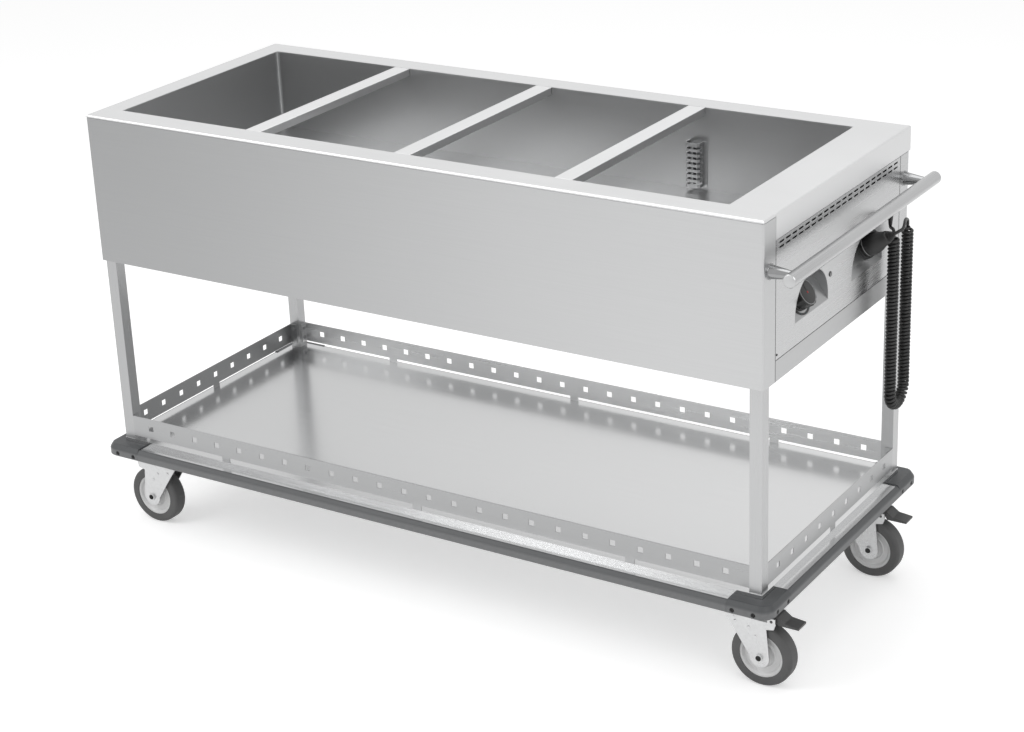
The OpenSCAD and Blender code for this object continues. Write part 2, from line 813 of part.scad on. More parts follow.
// Section of the bumper, from the shelf's edge outwards, with a slope on top
module bumper_section(up) {
    z0 = rim_z - bumper_h;
    polygon([[0, z0], [bumper_t - bumper_bevel / 2, z0], [bumper_t, z0 + bumper_bevel / 2],
        [bumper_t, rim_z - bumper_slope], [bumper_t - bumper_bevel / 2, rim_z - bumper_slope + bumper_bevel],
        [bumper_bevel, rim_z - bumper_bevel / 4 + up], [0, rim_z + up]]);
}

module bumper_long(s) {
    l = 2 * (outer_x - corner_x - seam / 2);
    color("dimgray") placed() translate([-s * l / 2, s * shelf_w / 2, 0]) rotate([90, 0, s * 90])
        linear_extrude(l) bumper_section(0);
}

module bumper_short(s) {
    l = 2 * (outer_y - corner_y - seam / 2);
    color("dimgray") placed() translate([s * shelf_l / 2, s * l / 2, 0])
        rotate([90, 0, s > 0 ? 0 : 180]) linear_extrude(l) bumper_section(0);
}

// Corner piece: two bumper arms, a round corner and a lap on the rim that ends at the deck
module bumper_corner() {
    ax = outer_x - corner_x;
    ay = outer_y - corner_y;
    cx = outer_x - corner_r;
    cy = outer_y - corner_r;
    difference() {
        union() {
            translate([ax, shelf_w / 2, 0]) rotate([90, 0, 90]) linear_extrude(cx - ax)
                bumper_section(corner_lap);
            translate([shelf_l / 2, cy, 0]) rotate([90, 0, 0]) linear_extrude(cy - ay)
                bumper_section(corner_lap);
            translate([cx, cy, 0]) rotate_extrude(angle = 90)
                translate([corner_r - bumper_t, 0]) bumper_section(corner_lap);
            translate([0, 0, rim_z]) linear_extrude(corner_lap) difference() {
                intersection() {
                    round_rect(shelf_l, shelf_w, corner_r - bumper_t);
                    translate([ax, ay]) square([corner_x, corner_y]);
                }
                round_rect(deck_l + seam, deck_w + seam, deck_r);
            }
        }
        bumper_screw_places() translate([0, 0, -screw_sink]) cylinder(h = bumper_t, r = screw_r + seam);
    }
}

// Puts its children on the outer faces of one corner piece, at the screws, facing outwards
module bumper_screw_places() {
    for (x = bumper_screw_x) translate([outer_x - x, outer_y, bumper_face_z])
        rotate([-90, 0, 0]) children();
    for (y = bumper_screw_y) translate([outer_x, outer_y - y, bumper_face_z])
        rotate([0, 90, 0]) children();
}

// Puts its children at the four corners by mirroring
module four_corners() {
    for (mx = [0, 1], my = [0, 1]) mirror([mx, 0, 0]) mirror([0, my, 0]) children();
}

module bumper_corners() {
    color("dimgray") placed() four_corners() bumper_corner();
}

module bumper_screws() {
    color("black") placed() four_corners() bumper_screw_places()
        translate([0, 0, -screw_sink]) cylinder(h = screw_h, r = screw_r);
}

// Push bar with bevelled ends
module handle_bar() {
    r = handle_d / 2;
    color("silver") placed() translate([handle_x, 0, handle_z]) rotate([90, 0, 0])
        rotate_extrude() polygon([[0, -handle_l / 2], [r - over, -handle_l / 2],
            [r, -handle_l / 2 + over], [r, handle_l / 2 - over], [r - over, handle_l / 2], [0, handle_l / 2]]);
}

// Two tapered posts between the end panel and the push bar
module handle_posts() {
    color("silver") placed() difference() {
        for (s = [-1, 1]) translate([half_l, s * post_span / 2, handle_z]) rotate([0, 90, 0])
            cylinder(h = handle_reach, r1 = post_r, r2 = post_tip_r);
        translate([handle_x, 0, handle_z]) rotate([90, 0, 0])
            cylinder(h = handle_l, r = handle_d / 2, center = true);
    }
}

// Drain cock under the well
module drain_valve() {
    color("goldenrod") placed() translate([drain_x, 0, 0]) {
        translate([0, 0, valve_z]) difference() {
            cylinder(h = well_z - sheet_t - valve_z, r = drain_r);
            cylinder(h = well_z - valve_z, r = drain_r - 2 * sheet_t);
        }
        translate([0, 0, valve_z - valve_l]) cylinder(h = valve_l, r = valve_r, $fn = 8);
        translate([0, 0, valve_z - valve_l - spout_l]) difference() {
            cylinder(h = spout_l, r = drain_r);
            translate([0, 0, -over]) cylinder(h = spout_l, r = drain_r - 2 * sheet_t);
        }
        translate([0, 0, valve_z - valve_l / 2]) rotate([-90, 0, 0])
            cylinder(h = valve_r + stem_l, r = stem_r);
    }
}

// Lever of the drain cock, on its stem
module drain_lever() {
    color("crimson") placed() translate([drain_x, valve_r + stem_l - 2 * lever_t, valve_z - valve_l / 2])
        rotate([-90, 0, 0]) difference() {
            union() {
                cylinder(h = lever_t, r = lever_w / 2);
                translate([0, -lever_w / 2, 0]) cube([lever_l, lever_w, lever_t]);
            }
            translate([0, 0, -over]) cylinder(h = lever_t + 2 * over, r = stem_r + run_fit);
        }
}

// Puts a caster's pieces at its swivel axis, trailing away from the middle
module caster_place(sx, sy) {
    placed() translate([sx * swivel_x, sy * swivel_y, 0]) rotate([0, 0, sx > 0 ? 0 : 180]) children();
}

// Four caster plates, each with its race and its rivet
module caster_plates() {
    color("silver") for (sx = [-1, 1], sy = [-1, 1]) caster_place(sx, sy) {
        translate([0, 0, plate_z]) linear_extrude(plate_t) round_rect(plate_l, plate_w, race_t);
        translate([0, 0, plate_z - race_t]) cylinder(h = race_t, r = race_r);
        translate([0, 0, crown_z - rest_gap]) cylinder(h = plate_z - crown_z + rest_gap, r = king_r);
        translate([0, 0, crown_z - rest_gap - king_head_h]) cylinder(h = king_head_h, r = king_head_r);
    }
}

// Outline of a fork's side seen along the axle
module fork_side(braked) {
    difference() {
        union() {
            polygon([[-fork_front, crown_top], [-fork_front, crown_z], [trail - fork_foot_r, wheel_r],
                [trail + fork_foot_r, wheel_r], [fork_ear_x, fork_ear_z],
                [fork_back - crown_t, fork_ear_z + crown_t], [fork_back, crown_z], [fork_back, crown_top]]);
            translate([trail, wheel_r]) circle(fork_foot_r);
            if (braked) translate([fork_back - ear_w, crown_z]) square([ear_w, ear_top - crown_z]);
        }
        translate([trail, wheel_r]) circle(bolt_r);
        if (braked) translate([pedal_x, pedal_z]) circle(pedal_pin_r + run_fit);
    }
}

// Swivel fork with its bearing cup, and the wheel bolt with head and nut as its own solid
module fork(braked) {
    difference() {
        union() {
            for (s = [-1, 1]) translate([0, s > 0 ? fork_y : -fork_gap, 0]) rotate([90, 0, 0])
                linear_extrude(fork_t) fork_side(braked);
            block([-fork_front, -fork_gap, crown_z], [fork_ear_x, fork_gap, crown_top]);
            translate([0, 0, crown_z]) cylinder(h = plate_z - race_t - rest_gap - crown_z, r = race_r + crown_t);
        }
        translate([0, 0, crown_z - over]) cylinder(h = caster_h, r = king_r + run_fit);
    }
    translate([trail, 0, wheel_r]) rotate([90, 0, 0]) {
        cylinder(h = 2 * fork_y, r = bolt_r, center = true);
        for (s = [-1, 1]) translate([0, 0, s > 0 ? fork_y : -fork_y - nut_h])
            cylinder(h = nut_h, r = nut_r, $fn = 6);
    }
}

// Wheel core: bored barrel, web and rim
module hub() {
    barrel = fork_gap - hub_play;
    rim = tyre_w / 2 - rim_t / 2;
    translate([trail, 0, wheel_r]) rotate([90, 0, 0]) rotate_extrude() polygon([
        [bolt_r + run_fit, -barrel], [hub_r, -barrel], [hub_r, -hub_web], [disc_r - 2 * rim_t, -hub_web],
        [disc_r - rim_t, -rim], [disc_r, -rim], [disc_r, rim], [disc_r - rim_t, rim],
        [disc_r - 2 * rim_t, hub_web], [hub_r, hub_web], [hub_r, barrel], [bolt_r + run_fit, barrel]]);
}

// Tyre with round shoulders
module tyre() {
    translate([trail, 0, wheel_r]) rotate([90, 0, 0]) rotate_extrude() translate([disc_r, 0]) {
        translate([0, -tyre_w / 2]) square([wheel_r - disc_r - tyre_round, tyre_w]);
        translate([0, -tyre_w / 2 + tyre_round]) square([wheel_r - disc_r, tyre_w - 2 * tyre_round]);
        for (s = [-1, 1]) translate([wheel_r - disc_r - tyre_round, s * (tyre_w / 2 - tyre_round)])
            circle(tyre_round);
    }
}

// Brake pedal on its pin between the fork's ears: riser, bend and toe plate
module pedal() {
    translate([pedal_x, 0, pedal_z]) {
        rotate([90, 0, 0]) cylinder(h = 2 * fork_y, r = pedal_pin_r, center = true);
        rotate([90, 0, 0]) cylinder(h = 2 * (fork_gap - rest_gap), r = 2 * pedal_pin_r, center = true);
        translate([0, pedal_w / 2, 0]) rotate([90, 0, 0]) linear_extrude(pedal_w)
            polygon(pedal_outline);
    }
}

// Point and direction of the plug's end, from the tilted pocket
function pocket_point(y, h) = [pocket_x + h * cos(tilt), y, pocket_zc + h * sin(tilt)];

// A point of the cord's plain stretches
function cord_at(q) = [half_l + q[0], q[1], pocket_z + q[2]];

// Sweeps a tube of n sides along points p, with end directions d0 and d1
function unit(v) = v / norm(v);
function tangents(p, d0, d1) = [for (i = [0:len(p) - 1])
    i == 0 ? d0 : i == len(p) - 1 ? d1 : unit(p[i + 1] - p[i - 1])];
function carried(t, u) = [for (i = 0, w = u; i < len(t); i = i + 1,
    w = i < len(t) ? unit(w - (w * t[i]) * t[i]) : w) w];

module tube(p, d0, d1, r, n, side) {
    t = tangents(p, d0, d1);
    u = carried(t, side);
    m = len(p);
    points = [for (i = [0:m - 1], k = [0:n - 1])
        p[i] + r * (cos(360 * k / n) * u[i] + sin(360 * k / n) * cross(t[i], u[i]))];
    walls = [for (i = [0:m - 2], k = [0:n - 1], h = [0, 1])
        h == 0 ? [i * n + k, (i + 1) * n + (k + 1) % n, i * n + (k + 1) % n]
            : [i * n + k, (i + 1) * n + k, (i + 1) * n + (k + 1) % n]];
    caps = [for (k = [1:n - 2], h = [0, 1])
        h == 0 ? [0, k, k + 1] : [(m - 1) * n, (m - 1) * n + k + 1, (m - 1) * n + k]];
    polyhedron(points = points, faces = concat(walls, caps));
}

// Middle line of the coil: down one run, round the bend and up the other
function coil_at(s) = s < coil_run ? [coil_x, coil_y1, coil_top - s]
    : s < coil_l - coil_run
        ? [coil_x, (coil_y0 + coil_y1) / 2 + coil_bend * cos(coil_turn(s)), coil_low - coil_bend * sin(coil_turn(s))]
        : [coil_x, coil_y0, coil_top - (coil_l - s)];
function coil_turn(s) = (s - coil_run) / coil_bend * 180 / PI;
function coil_side(s) = s < coil_run ? [0, 1, 0]
    : s < coil_l - coil_run ? [0, cos(coil_turn(s)), -sin(coil_turn(s))] : [0, -1, 0];

// The curls grow from the straight end over one turn and draw in again before the other end
coil_pitch = coil_l / (curl_n + 2);
function curl_share(s) = min(1, max(0, (s - cord_d) / coil_pitch), max(0, (coil_l - cord_d - s) / coil_pitch));
function curl_at(s) = coil_at(s) + curl_r * curl_share(s)
    * (cos(360 * s / coil_pitch) * [1, 0, 0] + sin(360 * s / coil_pitch) * coil_side(s));
function coil_points() = concat([coil_at(0)],
    [for (i = [0:curl_rings * (curl_n + 2)]) let (s = cord_d + i * (coil_l - 2 * cord_d)
        / (curl_rings * (curl_n + 2))) curl_at(s)], [coil_at(coil_l)]);

// Curly cord, hung in one loop
module cord_coil() {
    p = coil_points();
    gap = min([for (i = [0:len(p) - curl_rings - 6], j = [curl_rings - 3:curl_rings + 4])
        norm(p[i] - p[i + j])]) - cord_d;
    echo(curly_cord_least_gap = gap);
    color("black") placed() tube(p, [0, 0, -1], [0, 0, 1], cord_d / 2, curl_sides, [1, 0, 0]);
}

// Straight stretch from the plug to the coil
module cord_lead() {
    a = pocket_point(plug_y, socket_h + plug_l);
    n = [cos(tilt), 0, sin(tilt)];
    p = concat([a, a + cord_d * n], [for (q = lead_points) cord_at(q)],
        [[coil_x, coil_y1, coil_top + cord_d], [coil_x, coil_y1, coil_top]]);
    color("black") placed() tube(p, n, [0, 0, -1], cord_d / 2, cord_sides, [0, 1, 0]);
}

// Straight stretch from the gland to the coil's other end
module cord_tail() {
    a = [half_l + gland_out, gland_y, gland_z - gland_drop];
    p = concat([a, a - [0, 0, cord_d]], [for (q = tail_points) cord_at(q)],
        [[coil_x, coil_y0, coil_top + cord_d], [coil_x, coil_y0, coil_top]]);
    color("black") placed() tube(p, [0, 0, -1], [0, 0, -1], cord_d / 2, cord_sides, [0, 1, 0]);
}

top_frame();
basin();
front_panel();
rear_panel();
left_end_panel();
control_panel();
bottom_cover();
heating_element();
probe_guard();
probe();
divider_bar(1);  // divider_bar_1
divider_bar(2);  // divider_bar_2
divider_bar(3);  // divider_bar_3
leg(-1, -1);  // leg_front_left
leg(1, -1);  // leg_front_right
leg(-1, 1);  // leg_rear_left
leg(1, 1);  // leg_rear_right
shelf();
cross_beam(-1);  // cross_beam_left
cross_beam(1);  // cross_beam_right
rail_front();
rail_rear();
rail_left();
rail_right();
rail_screws();
bumper_long(-1);  // bumper_front
bumper_long(1);  // bumper_rear
bumper_short(-1);  // bumper_left
bumper_short(1);  // bumper_right
bumper_corners();
bumper_screws();
handle_bar();
handle_posts();
knob();
control_pockets();
pilot_lamp();
thermostat();
parking_socket();
plug();
cord_lead();
cord_coil();
cord_tail();
cord_gland();
drain_valve();
drain_lever();
caster_plates();
color("silver") caster_place(-1, -1) fork(false);  // fork_front_left
color("silver") caster_place(1, -1) fork(true);  // fork_front_right
color("silver") caster_place(-1, 1) fork(false);  // fork_rear_left
color("silver") caster_place(1, 1) fork(true);  // fork_rear_right
color("lightgray") caster_place(-1, -1) hub();  // hub_front_left
color("lightgray") caster_place(1, -1) hub();  // hub_front_right
color("lightgray") caster_place(-1, 1) hub();  // hub_rear_left
color("lightgray") caster_place(1, 1) hub();  // hub_rear_right
color("dimgray") caster_place(-1, -1) tyre();  // tyre_front_left
color("dimgray") caster_place(1, -1) tyre();  // tyre_front_right
color("dimgray") caster_place(-1, 1) tyre();  // tyre_rear_left
color("dimgray") caster_place(1, 1) tyre();  // tyre_rear_right
color("silver") caster_place(1, -1) pedal();  // brake_pedal_front
color("silver") caster_place(1, 1) pedal();  // brake_pedal_rear
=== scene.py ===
"""Looks of a heated serving trolley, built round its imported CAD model.

Lengths are in metres, in the row frame: X runs along the trolley towards the controls, Y to the
rear and Z up from the floor. Sizes in millimetres are turned into metres by `mm`.
"""

import json
import logging
import math
from dataclasses import dataclass, field
from enum import Enum

import bmesh
import bpy
from mathutils import Matrix, Vector

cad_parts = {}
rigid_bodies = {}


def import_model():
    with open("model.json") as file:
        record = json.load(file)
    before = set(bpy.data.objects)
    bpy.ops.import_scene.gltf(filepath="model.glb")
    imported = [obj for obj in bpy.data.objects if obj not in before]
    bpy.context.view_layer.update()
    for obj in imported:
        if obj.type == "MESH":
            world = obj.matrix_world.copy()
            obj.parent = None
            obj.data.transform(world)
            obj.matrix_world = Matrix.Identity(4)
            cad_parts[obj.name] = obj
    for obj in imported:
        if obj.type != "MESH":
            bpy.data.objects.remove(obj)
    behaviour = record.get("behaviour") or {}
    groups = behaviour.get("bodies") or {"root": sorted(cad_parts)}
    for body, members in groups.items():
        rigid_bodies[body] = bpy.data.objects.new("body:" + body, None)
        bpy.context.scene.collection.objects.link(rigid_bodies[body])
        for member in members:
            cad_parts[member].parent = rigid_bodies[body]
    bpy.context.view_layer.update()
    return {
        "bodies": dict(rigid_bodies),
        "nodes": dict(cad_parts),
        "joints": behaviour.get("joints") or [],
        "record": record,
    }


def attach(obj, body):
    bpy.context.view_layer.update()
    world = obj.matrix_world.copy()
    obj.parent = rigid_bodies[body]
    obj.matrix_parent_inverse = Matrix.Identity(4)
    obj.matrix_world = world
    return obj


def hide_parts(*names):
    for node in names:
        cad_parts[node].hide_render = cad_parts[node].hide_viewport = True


log = logging.getLogger("trolley")

MM = 0.001
BODY_SHIFT = -17.55  # the body's middle stands this far from the row's origin, along X
HALF_L = 757.5  # from the body's middle to its control end, in millimetres
WHEEL_R = 62.5  # height of the axles, in millimetres


def mm(x: float, y: float, z: float) -> Vector:
    """A point of the body's own frame, in millimetres, as a point of the row frame in metres."""
    return Vector(((x + BODY_SHIFT) * MM, y * MM, z * MM))


def deselect() -> None:
    """Leave edit mode and select nothing."""
    if bpy.context.object and bpy.context.object.mode != "OBJECT":
        bpy.ops.object.mode_set(mode="OBJECT")
    bpy.ops.object.select_all(action="DESELECT")


def activate(obj: bpy.types.Object) -> None:
    """Select one object only and make it the active one.

    Args:
        obj: The object to work on.
    """
    deselect()
    obj.select_set(True)
    bpy.context.view_layer.objects.active = obj


def settle(obj: bpy.types.Object, place: Matrix) -> bpy.types.Object:
    """Move a finished mesh to its place and leave its object at the origin.

    Args:
        obj: The finished object.
        place: Where its mesh goes, in the row frame.

    Returns:
        The same object.
    """
    obj.data.transform(place @ obj.matrix_world)
    obj.matrix_world = Matrix.Identity(4)
    return obj


def apply_modifiers(obj: bpy.types.Object) -> None:
    """Apply every modifier of an object, in order."""
    activate(obj)
    for modifier in list(obj.modifiers):
        bpy.ops.object.modifier_apply(modifier=modifier.name)


def smooth(obj: bpy.types.Object, angle: float = 35.0) -> None:
    """Shade an object smooth except where its faces meet at more than an angle.

    Args:
        obj: The object to shade.
        angle: The limit in degrees.
    """
    activate(obj)
    bpy.ops.object.shade_smooth_by_angle(angle=math.radians(angle))


def recalculate(obj: bpy.types.Object) -> None:
    """Merge doubles and point every face outwards."""
    activate(obj)
    bpy.ops.object.mode_set(mode="EDIT")
    bpy.ops.mesh.select_all(action="SELECT")
    bpy.ops.mesh.remove_doubles(threshold=1e-6)
    bpy.ops.mesh.normals_make_consistent(inside=False)
    bpy.ops.object.mode_set(mode="OBJECT")


def lathe(name: str, profile: list[tuple[float, float]], steps: int = 48) -> bpy.types.Object:
    """Spin a profile about Z.

    Args:
        name: Name of the new object.
        profile: Points (radius, height) in millimetres, from one end on the axis to the other.
        steps: Faces round the axis.

    Returns:
        The closed object, about its own Z axis, in metres.
    """
    deselect()
    mesh = bpy.data.meshes.new(name)
    obj = bpy.data.objects.new(name, mesh)
    bpy.context.collection.objects.link(obj)
    points = [(r * MM, 0.0, z * MM) for r, z in profile]
    mesh.from_pydata(points, [(i, i + 1) for i in range(len(points) - 1)], [])
    activate(obj)
    bpy.ops.object.mode_set(mode="EDIT")
    bpy.ops.mesh.select_all(action="SELECT")
    bpy.ops.mesh.spin(steps=steps, angle=2 * math.pi, center=(0, 0, 0), axis=(0, 0, 1))
    bpy.ops.object.mode_set(mode="OBJECT")
    recalculate(obj)
    smooth(obj)
    return obj


def rod(name: str, radius: float, depth: float, sides: int, bevel: float) -> bpy.types.Object:
    """A bar on Z from 0 to its depth, with its end rims bevelled.

    Args:
        name: Name of the new object.
        radius: Radius in millimetres.
        depth: Length in millimetres.
        sides: Faces round the axis.
        bevel: Width of the rims' bevel in millimetres.

    Returns:
        The object about its own Z axis, in metres.
    """
    deselect()
    bpy.ops.mesh.primitive_cylinder_add(
        vertices=sides, radius=radius * MM, depth=depth * MM, location=(0, 0, depth * MM / 2))
    obj = bpy.context.object
    obj.name = name
    bpy.ops.object.transform_apply(location=True, rotation=True, scale=True)
    cut = obj.modifiers.new("rims", "BEVEL")
    cut.width = bevel * MM
    cut.segments = 3
    cut.limit_method = "ANGLE"
    cut.angle_limit = math.radians(50)
    apply_modifiers(obj)
    smooth(obj)
    return obj


def join(parts: list[bpy.types.Object], name: str) -> bpy.types.Object:
    """Join several meshes into one object.

    Args:
        parts: The objects, each with its place in its mesh.
        name: Name of the joined object.

    Returns:
        The joined object.
    """
    deselect()
    for part in parts:
        part.select_set(True)
    bpy.context.view_layer.objects.active = parts[0]
    bpy.ops.object.join()
    parts[0].name = name
    return parts[0]


def copies(obj: bpy.types.Object, places: list[Matrix], name: str) -> bpy.types.Object:
    """Repeat a piece at several places, each copy with its own mesh, joined in the end.

    Args:
        obj: The piece, about the origin.
        places: One matrix for each copy.
        name: Name of the joined object.

    Returns:
        The joined copies. The first piece is used up.
    """
    made = []
    for place in places:
        copy = obj.copy()
        copy.data = obj.data.copy()
        bpy.context.collection.objects.link(copy)
        copy.data.transform(place)
        if place.determinant() < 0:
            copy.data.flip_normals()
        made.append(copy)
    bpy.data.objects.remove(obj)
    return join(made, name)


def facing(direction: Vector, at: Vector) -> Matrix:
    """A place at a point, with local Z along a direction."""
    return Matrix.Translation(at) @ direction.to_track_quat("Z", "Y").to_matrix().to_4x4()


class Grain(Enum):
    """Direction of a metal's brush marks, as stretches of Object coordinates."""

    ALONG_X = (5.0, 420.0, 420.0)
    ALONG_Y = (420.0, 5.0, 420.0)
    ALONG_Z = (420.0, 420.0, 5.0)
    EVEN = (160.0, 160.0, 160.0)


class SharedNodes:
    """Shader node groups that more than one finish uses."""

    def __init__(self) -> None:
        """Build the three groups once."""
        self.grain = self._grain()
        self.fleck = self._fleck()
        self.fade = self._painted_shade_ramp()

    @staticmethod
    def _start(name: str, inputs: list[tuple[str, str]], outputs: list[tuple[str, str]]) -> tuple:
        """Make an empty group.

        Args:
            name: Name of the group.
            inputs: Name and socket type of each input.
            outputs: Name and socket type of each output.

        Returns:
            The group, its input node and its output node.
        """
        group = bpy.data.node_groups.new(name, "ShaderNodeTree")
        for label, kind in inputs:
            group.interface.new_socket(name=label, in_out="INPUT", socket_type=kind)
        for label, kind in outputs:
            group.interface.new_socket(name=label, in_out="OUTPUT", socket_type=kind)
        return group, group.nodes.new("NodeGroupInput"), group.nodes.new("NodeGroupOutput")

    def _grain(self) -> bpy.types.NodeTree:
        """Brush marks: a long fine noise and a slow cloudiness.

        Returns:
            The group.
        """
        group, given, made = self._start(
            "brush_marks",
            [("Vector", "NodeSocketVector"), ("Place", "NodeSocketVector"), ("Light", "NodeSocketColor"),
             ("Dark", "NodeSocketColor"), ("Smooth", "NodeSocketFloat"), ("Rough", "NodeSocketFloat")],
            [("Color", "NodeSocketColor"), ("Roughness", "NodeSocketFloat"), ("Height", "NodeSocketFloat")])
        link = group.links.new
        cloud_share = 0.4
        marks = group.nodes.new("ShaderNodeTexNoise")
        marks.inputs["Scale"].default_value = 1.0
        marks.inputs["Detail"].default_value = 4.0
        link(given.outputs["Vector"], marks.inputs["Vector"])
        cloud = group.nodes.new("ShaderNodeTexNoise")
        cloud.inputs["Scale"].default_value = 3.0
        cloud.inputs["Detail"].default_value = 2.0
        link(given.outputs["Place"], cloud.inputs["Vector"])
        both = group.nodes.new("ShaderNodeMath")
        both.operation = "MULTIPLY_ADD"
        both.inputs[1].default_value = 1 - cloud_share
        link(marks.outputs["Fac"], both.inputs[0])
        share = group.nodes.new("ShaderNodeMath")
        share.operation = "MULTIPLY"
        share.inputs[1].default_value = cloud_share
        link(cloud.outputs["Fac"], share.inputs[0])
        link(share.outputs[0], both.inputs[2])
        spread = group.nodes.new("ShaderNodeMapRange")
        spread.inputs["From Min"].default_value = 0.35
        spread.inputs["From Max"].default_value = 0.65
        link(both.outputs[0], spread.inputs["Value"])
        tint = group.nodes.new("ShaderNodeMix")
        tint.data_type = "RGBA"
        link(spread.outputs["Result"], tint.inputs["Factor"])
        link(given.outputs["Dark"], tint.inputs["A"])
        link(given.outputs["Light"], tint.inputs["B"])
        link(tint.outputs["Result"], made.inputs["Color"])
        rough = group.nodes.new("ShaderNodeMapRange")
        link(spread.outputs["Result"], rough.inputs["Value"])
        link(given.outputs["Smooth"], rough.inputs["To Min"])
        link(given.outputs["Rough"], rough.inputs["To Max"])
        link(rough.outputs["Result"], made.inputs["Roughness"])
        link(marks.outputs["Fac"], made.inputs["Height"])
        return group

    def _fleck(self) -> bpy.types.NodeTree:
        """Fine moulded grain with a little dust.

        Returns:
            The group.
        """
        group, given, made = self._start(
            "moulded_grain",
            [("Vector", "NodeSocketVector"), ("Base", "NodeSocketColor"), ("Dust", "NodeSocketColor"),
             ("Scale", "NodeSocketFloat"), ("Rough", "NodeSocketFloat")],
            [("Color", "NodeSocketColor"), ("Roughness", "NodeSocketFloat"), ("Height", "NodeSocketFloat")])
        link = group.links.new
        grain_rough = 0.16
        grain = group.nodes.new("ShaderNodeTexNoise")
        grain.inputs["Detail"].default_value = 3.0
        link(given.outputs["Vector"], grain.inputs["Vector"])
        link(given.outputs["Scale"], grain.inputs["Scale"])
        dust = group.nodes.new("ShaderNodeTexNoise")
        dust.inputs["Scale"].default_value = 9.0
        dust.inputs["Detail"].default_value = 5.0
        link(given.outputs["Vector"], dust.inputs["Vector"])
        mask = group.nodes.new("ShaderNodeMapRange")
        mask.inputs["From Min"].default_value = 0.42
        mask.inputs["From Max"].default_value = 0.72
        link(dust.outputs["Fac"], mask.inputs["Value"])
        tint = group.nodes.new("ShaderNodeMix")
        tint.data_type = "RGBA"
        link(mask.outputs["Result"], tint.inputs["Factor"])
        link(given.outputs["Base"], tint.inputs["A"])
        link(given.outputs["Dust"], tint.inputs["B"])
        link(tint.outputs["Result"], made.inputs["Color"])
        rough = group.nodes.new("ShaderNodeMath")
        rough.operation = "MULTIPLY_ADD"
        rough.inputs[1].default_value = grain_rough
        link(grain.outputs["Fac"], rough.inputs[0])
        link(given.outputs["Rough"], rough.inputs[2])
        link(rough.outputs[0], made.inputs["Roughness"])
        link(grain.outputs["Fac"], made.inputs["Height"])
        return group

    def _painted_shade_ramp(self) -> bpy.types.NodeTree:
        """A slow change between two colours along one stretch of the piece: painted light and shade.

        Returns:
            The group.
        """
        group, given, made = self._start(
            "painted_shade_ramp",
            [("Vector", "NodeSocketVector"), ("From", "NodeSocketColor"), ("To", "NodeSocketColor")],
            [("Color", "NodeSocketColor")])
        link = group.links.new
        split = group.nodes.new("ShaderNodeSeparateXYZ")
        link(given.outputs["Vector"], split.inputs[0])
        span = group.nodes.new("ShaderNodeMapRange")
        span.interpolation_type = "SMOOTHSTEP"
        link(split.outputs["X"], span.inputs["Value"])
        tint = group.nodes.new("ShaderNodeMix")
        tint.data_type = "RGBA"
        link(span.outputs["Result"], tint.inputs["Factor"])
        link(given.outputs["From"], tint.inputs["A"])
        link(given.outputs["To"], tint.inputs["B"])
        link(tint.outputs["Result"], made.inputs["Color"])
        return group


def grey(value: float, warm: float = 0.0) -> tuple[float, float, float, float]:
    """A neutral colour, a little warmer or cooler.

    Args:
        value: Linear brightness.
        warm: Added to red and taken from blue.

    Returns:
        The colour with full alpha.
    """
    return (value + warm, value, value - warm, 1.0)


@dataclass(frozen=True)
class Steel:
    """Brushed or polished steel, with brush marks along one direction.

    Its brightness changes from `left` to `right` between two places on an axis, in metres: painted light and
    shade along the piece. `smooth` and
    `rough` are the ends of its roughness, and `contrast` is the strength of the marks.
    """

    name: str
    left: float
    right: float
    grain: Grain
    smooth: float
    rough: float
    contrast: float = 0.06
    bump: float = 0.02
    metal: float = 1.0
    shade_axis: tuple[float, float, float] = (1.0, 0.0, 0.0)
    shade_from: float = -0.77
    shade_to: float = 0.745

    def build(self, shared: SharedNodes) -> bpy.types.Material:
        """Make the material.

        Args:
            shared: The shared node groups.

        Returns:
            The new material.
        """
        material = bpy.data.materials.new(self.name)
        material.use_nodes = True
        nodes, link = material.node_tree.nodes, material.node_tree.links.new
        shader = nodes["Principled BSDF"]
        shader.inputs["Metallic"].default_value = self.metal
        where = nodes.new("ShaderNodeTexCoord")
        stretch = nodes.new("ShaderNodeMapping")
        stretch.inputs["Scale"].default_value = self.grain.value
        link(where.outputs["Object"], stretch.inputs["Vector"])
        along = nodes.new("ShaderNodeMapping")
        turn = Vector((1, 0, 0)).rotation_difference(Vector(self.shade_axis)).to_euler()
        along.vector_type = "TEXTURE"
        along.inputs["Rotation"].default_value = turn
        along.inputs["Location"].default_value = Vector(self.shade_axis) * self.shade_from
        size = self.shade_to - self.shade_from
        along.inputs["Scale"].default_value = (size, size, size)
        link(where.outputs["Object"], along.inputs["Vector"])
        tones = []
        cool = -0.003
        # Painted light and shade: each ramp runs the colour from `left` to `right` along the axis, once for
        # the light brush tone and once for the dark one.
        for label, step in (("light", self.contrast), ("dark", -self.contrast)):
            fade = nodes.new("ShaderNodeGroup")
            fade.node_tree = shared.fade
            fade.label = label
            fade.inputs["From"].default_value = grey(self.left * (1 + step), cool)
            fade.inputs["To"].default_value = grey(self.right * (1 + step), cool)
            link(along.outputs["Vector"], fade.inputs["Vector"])
            tones.append(fade)
        marks = nodes.new("ShaderNodeGroup")
        marks.node_tree = shared.grain
        marks.inputs["Smooth"].default_value = self.smooth
        marks.inputs["Rough"].default_value = self.rough
        link(stretch.outputs["Vector"], marks.inputs["Vector"])
        link(where.outputs["Object"], marks.inputs["Place"])
        link(tones[0].outputs["Color"], marks.inputs["Light"])
        link(tones[1].outputs["Color"], marks.inputs["Dark"])
        bump = nodes.new("ShaderNodeBump")
        bump.inputs["Strength"].default_value = self.bump
        bump.inputs["Distance"].default_value = MM
        link(marks.outputs["Height"], bump.inputs["Height"])
        link(marks.outputs["Color"], shader.inputs["Base Color"])
        link(marks.outputs["Roughness"], shader.inputs["Roughness"])
        link(bump.outputs["Normal"], shader.inputs["Normal"])
        return material


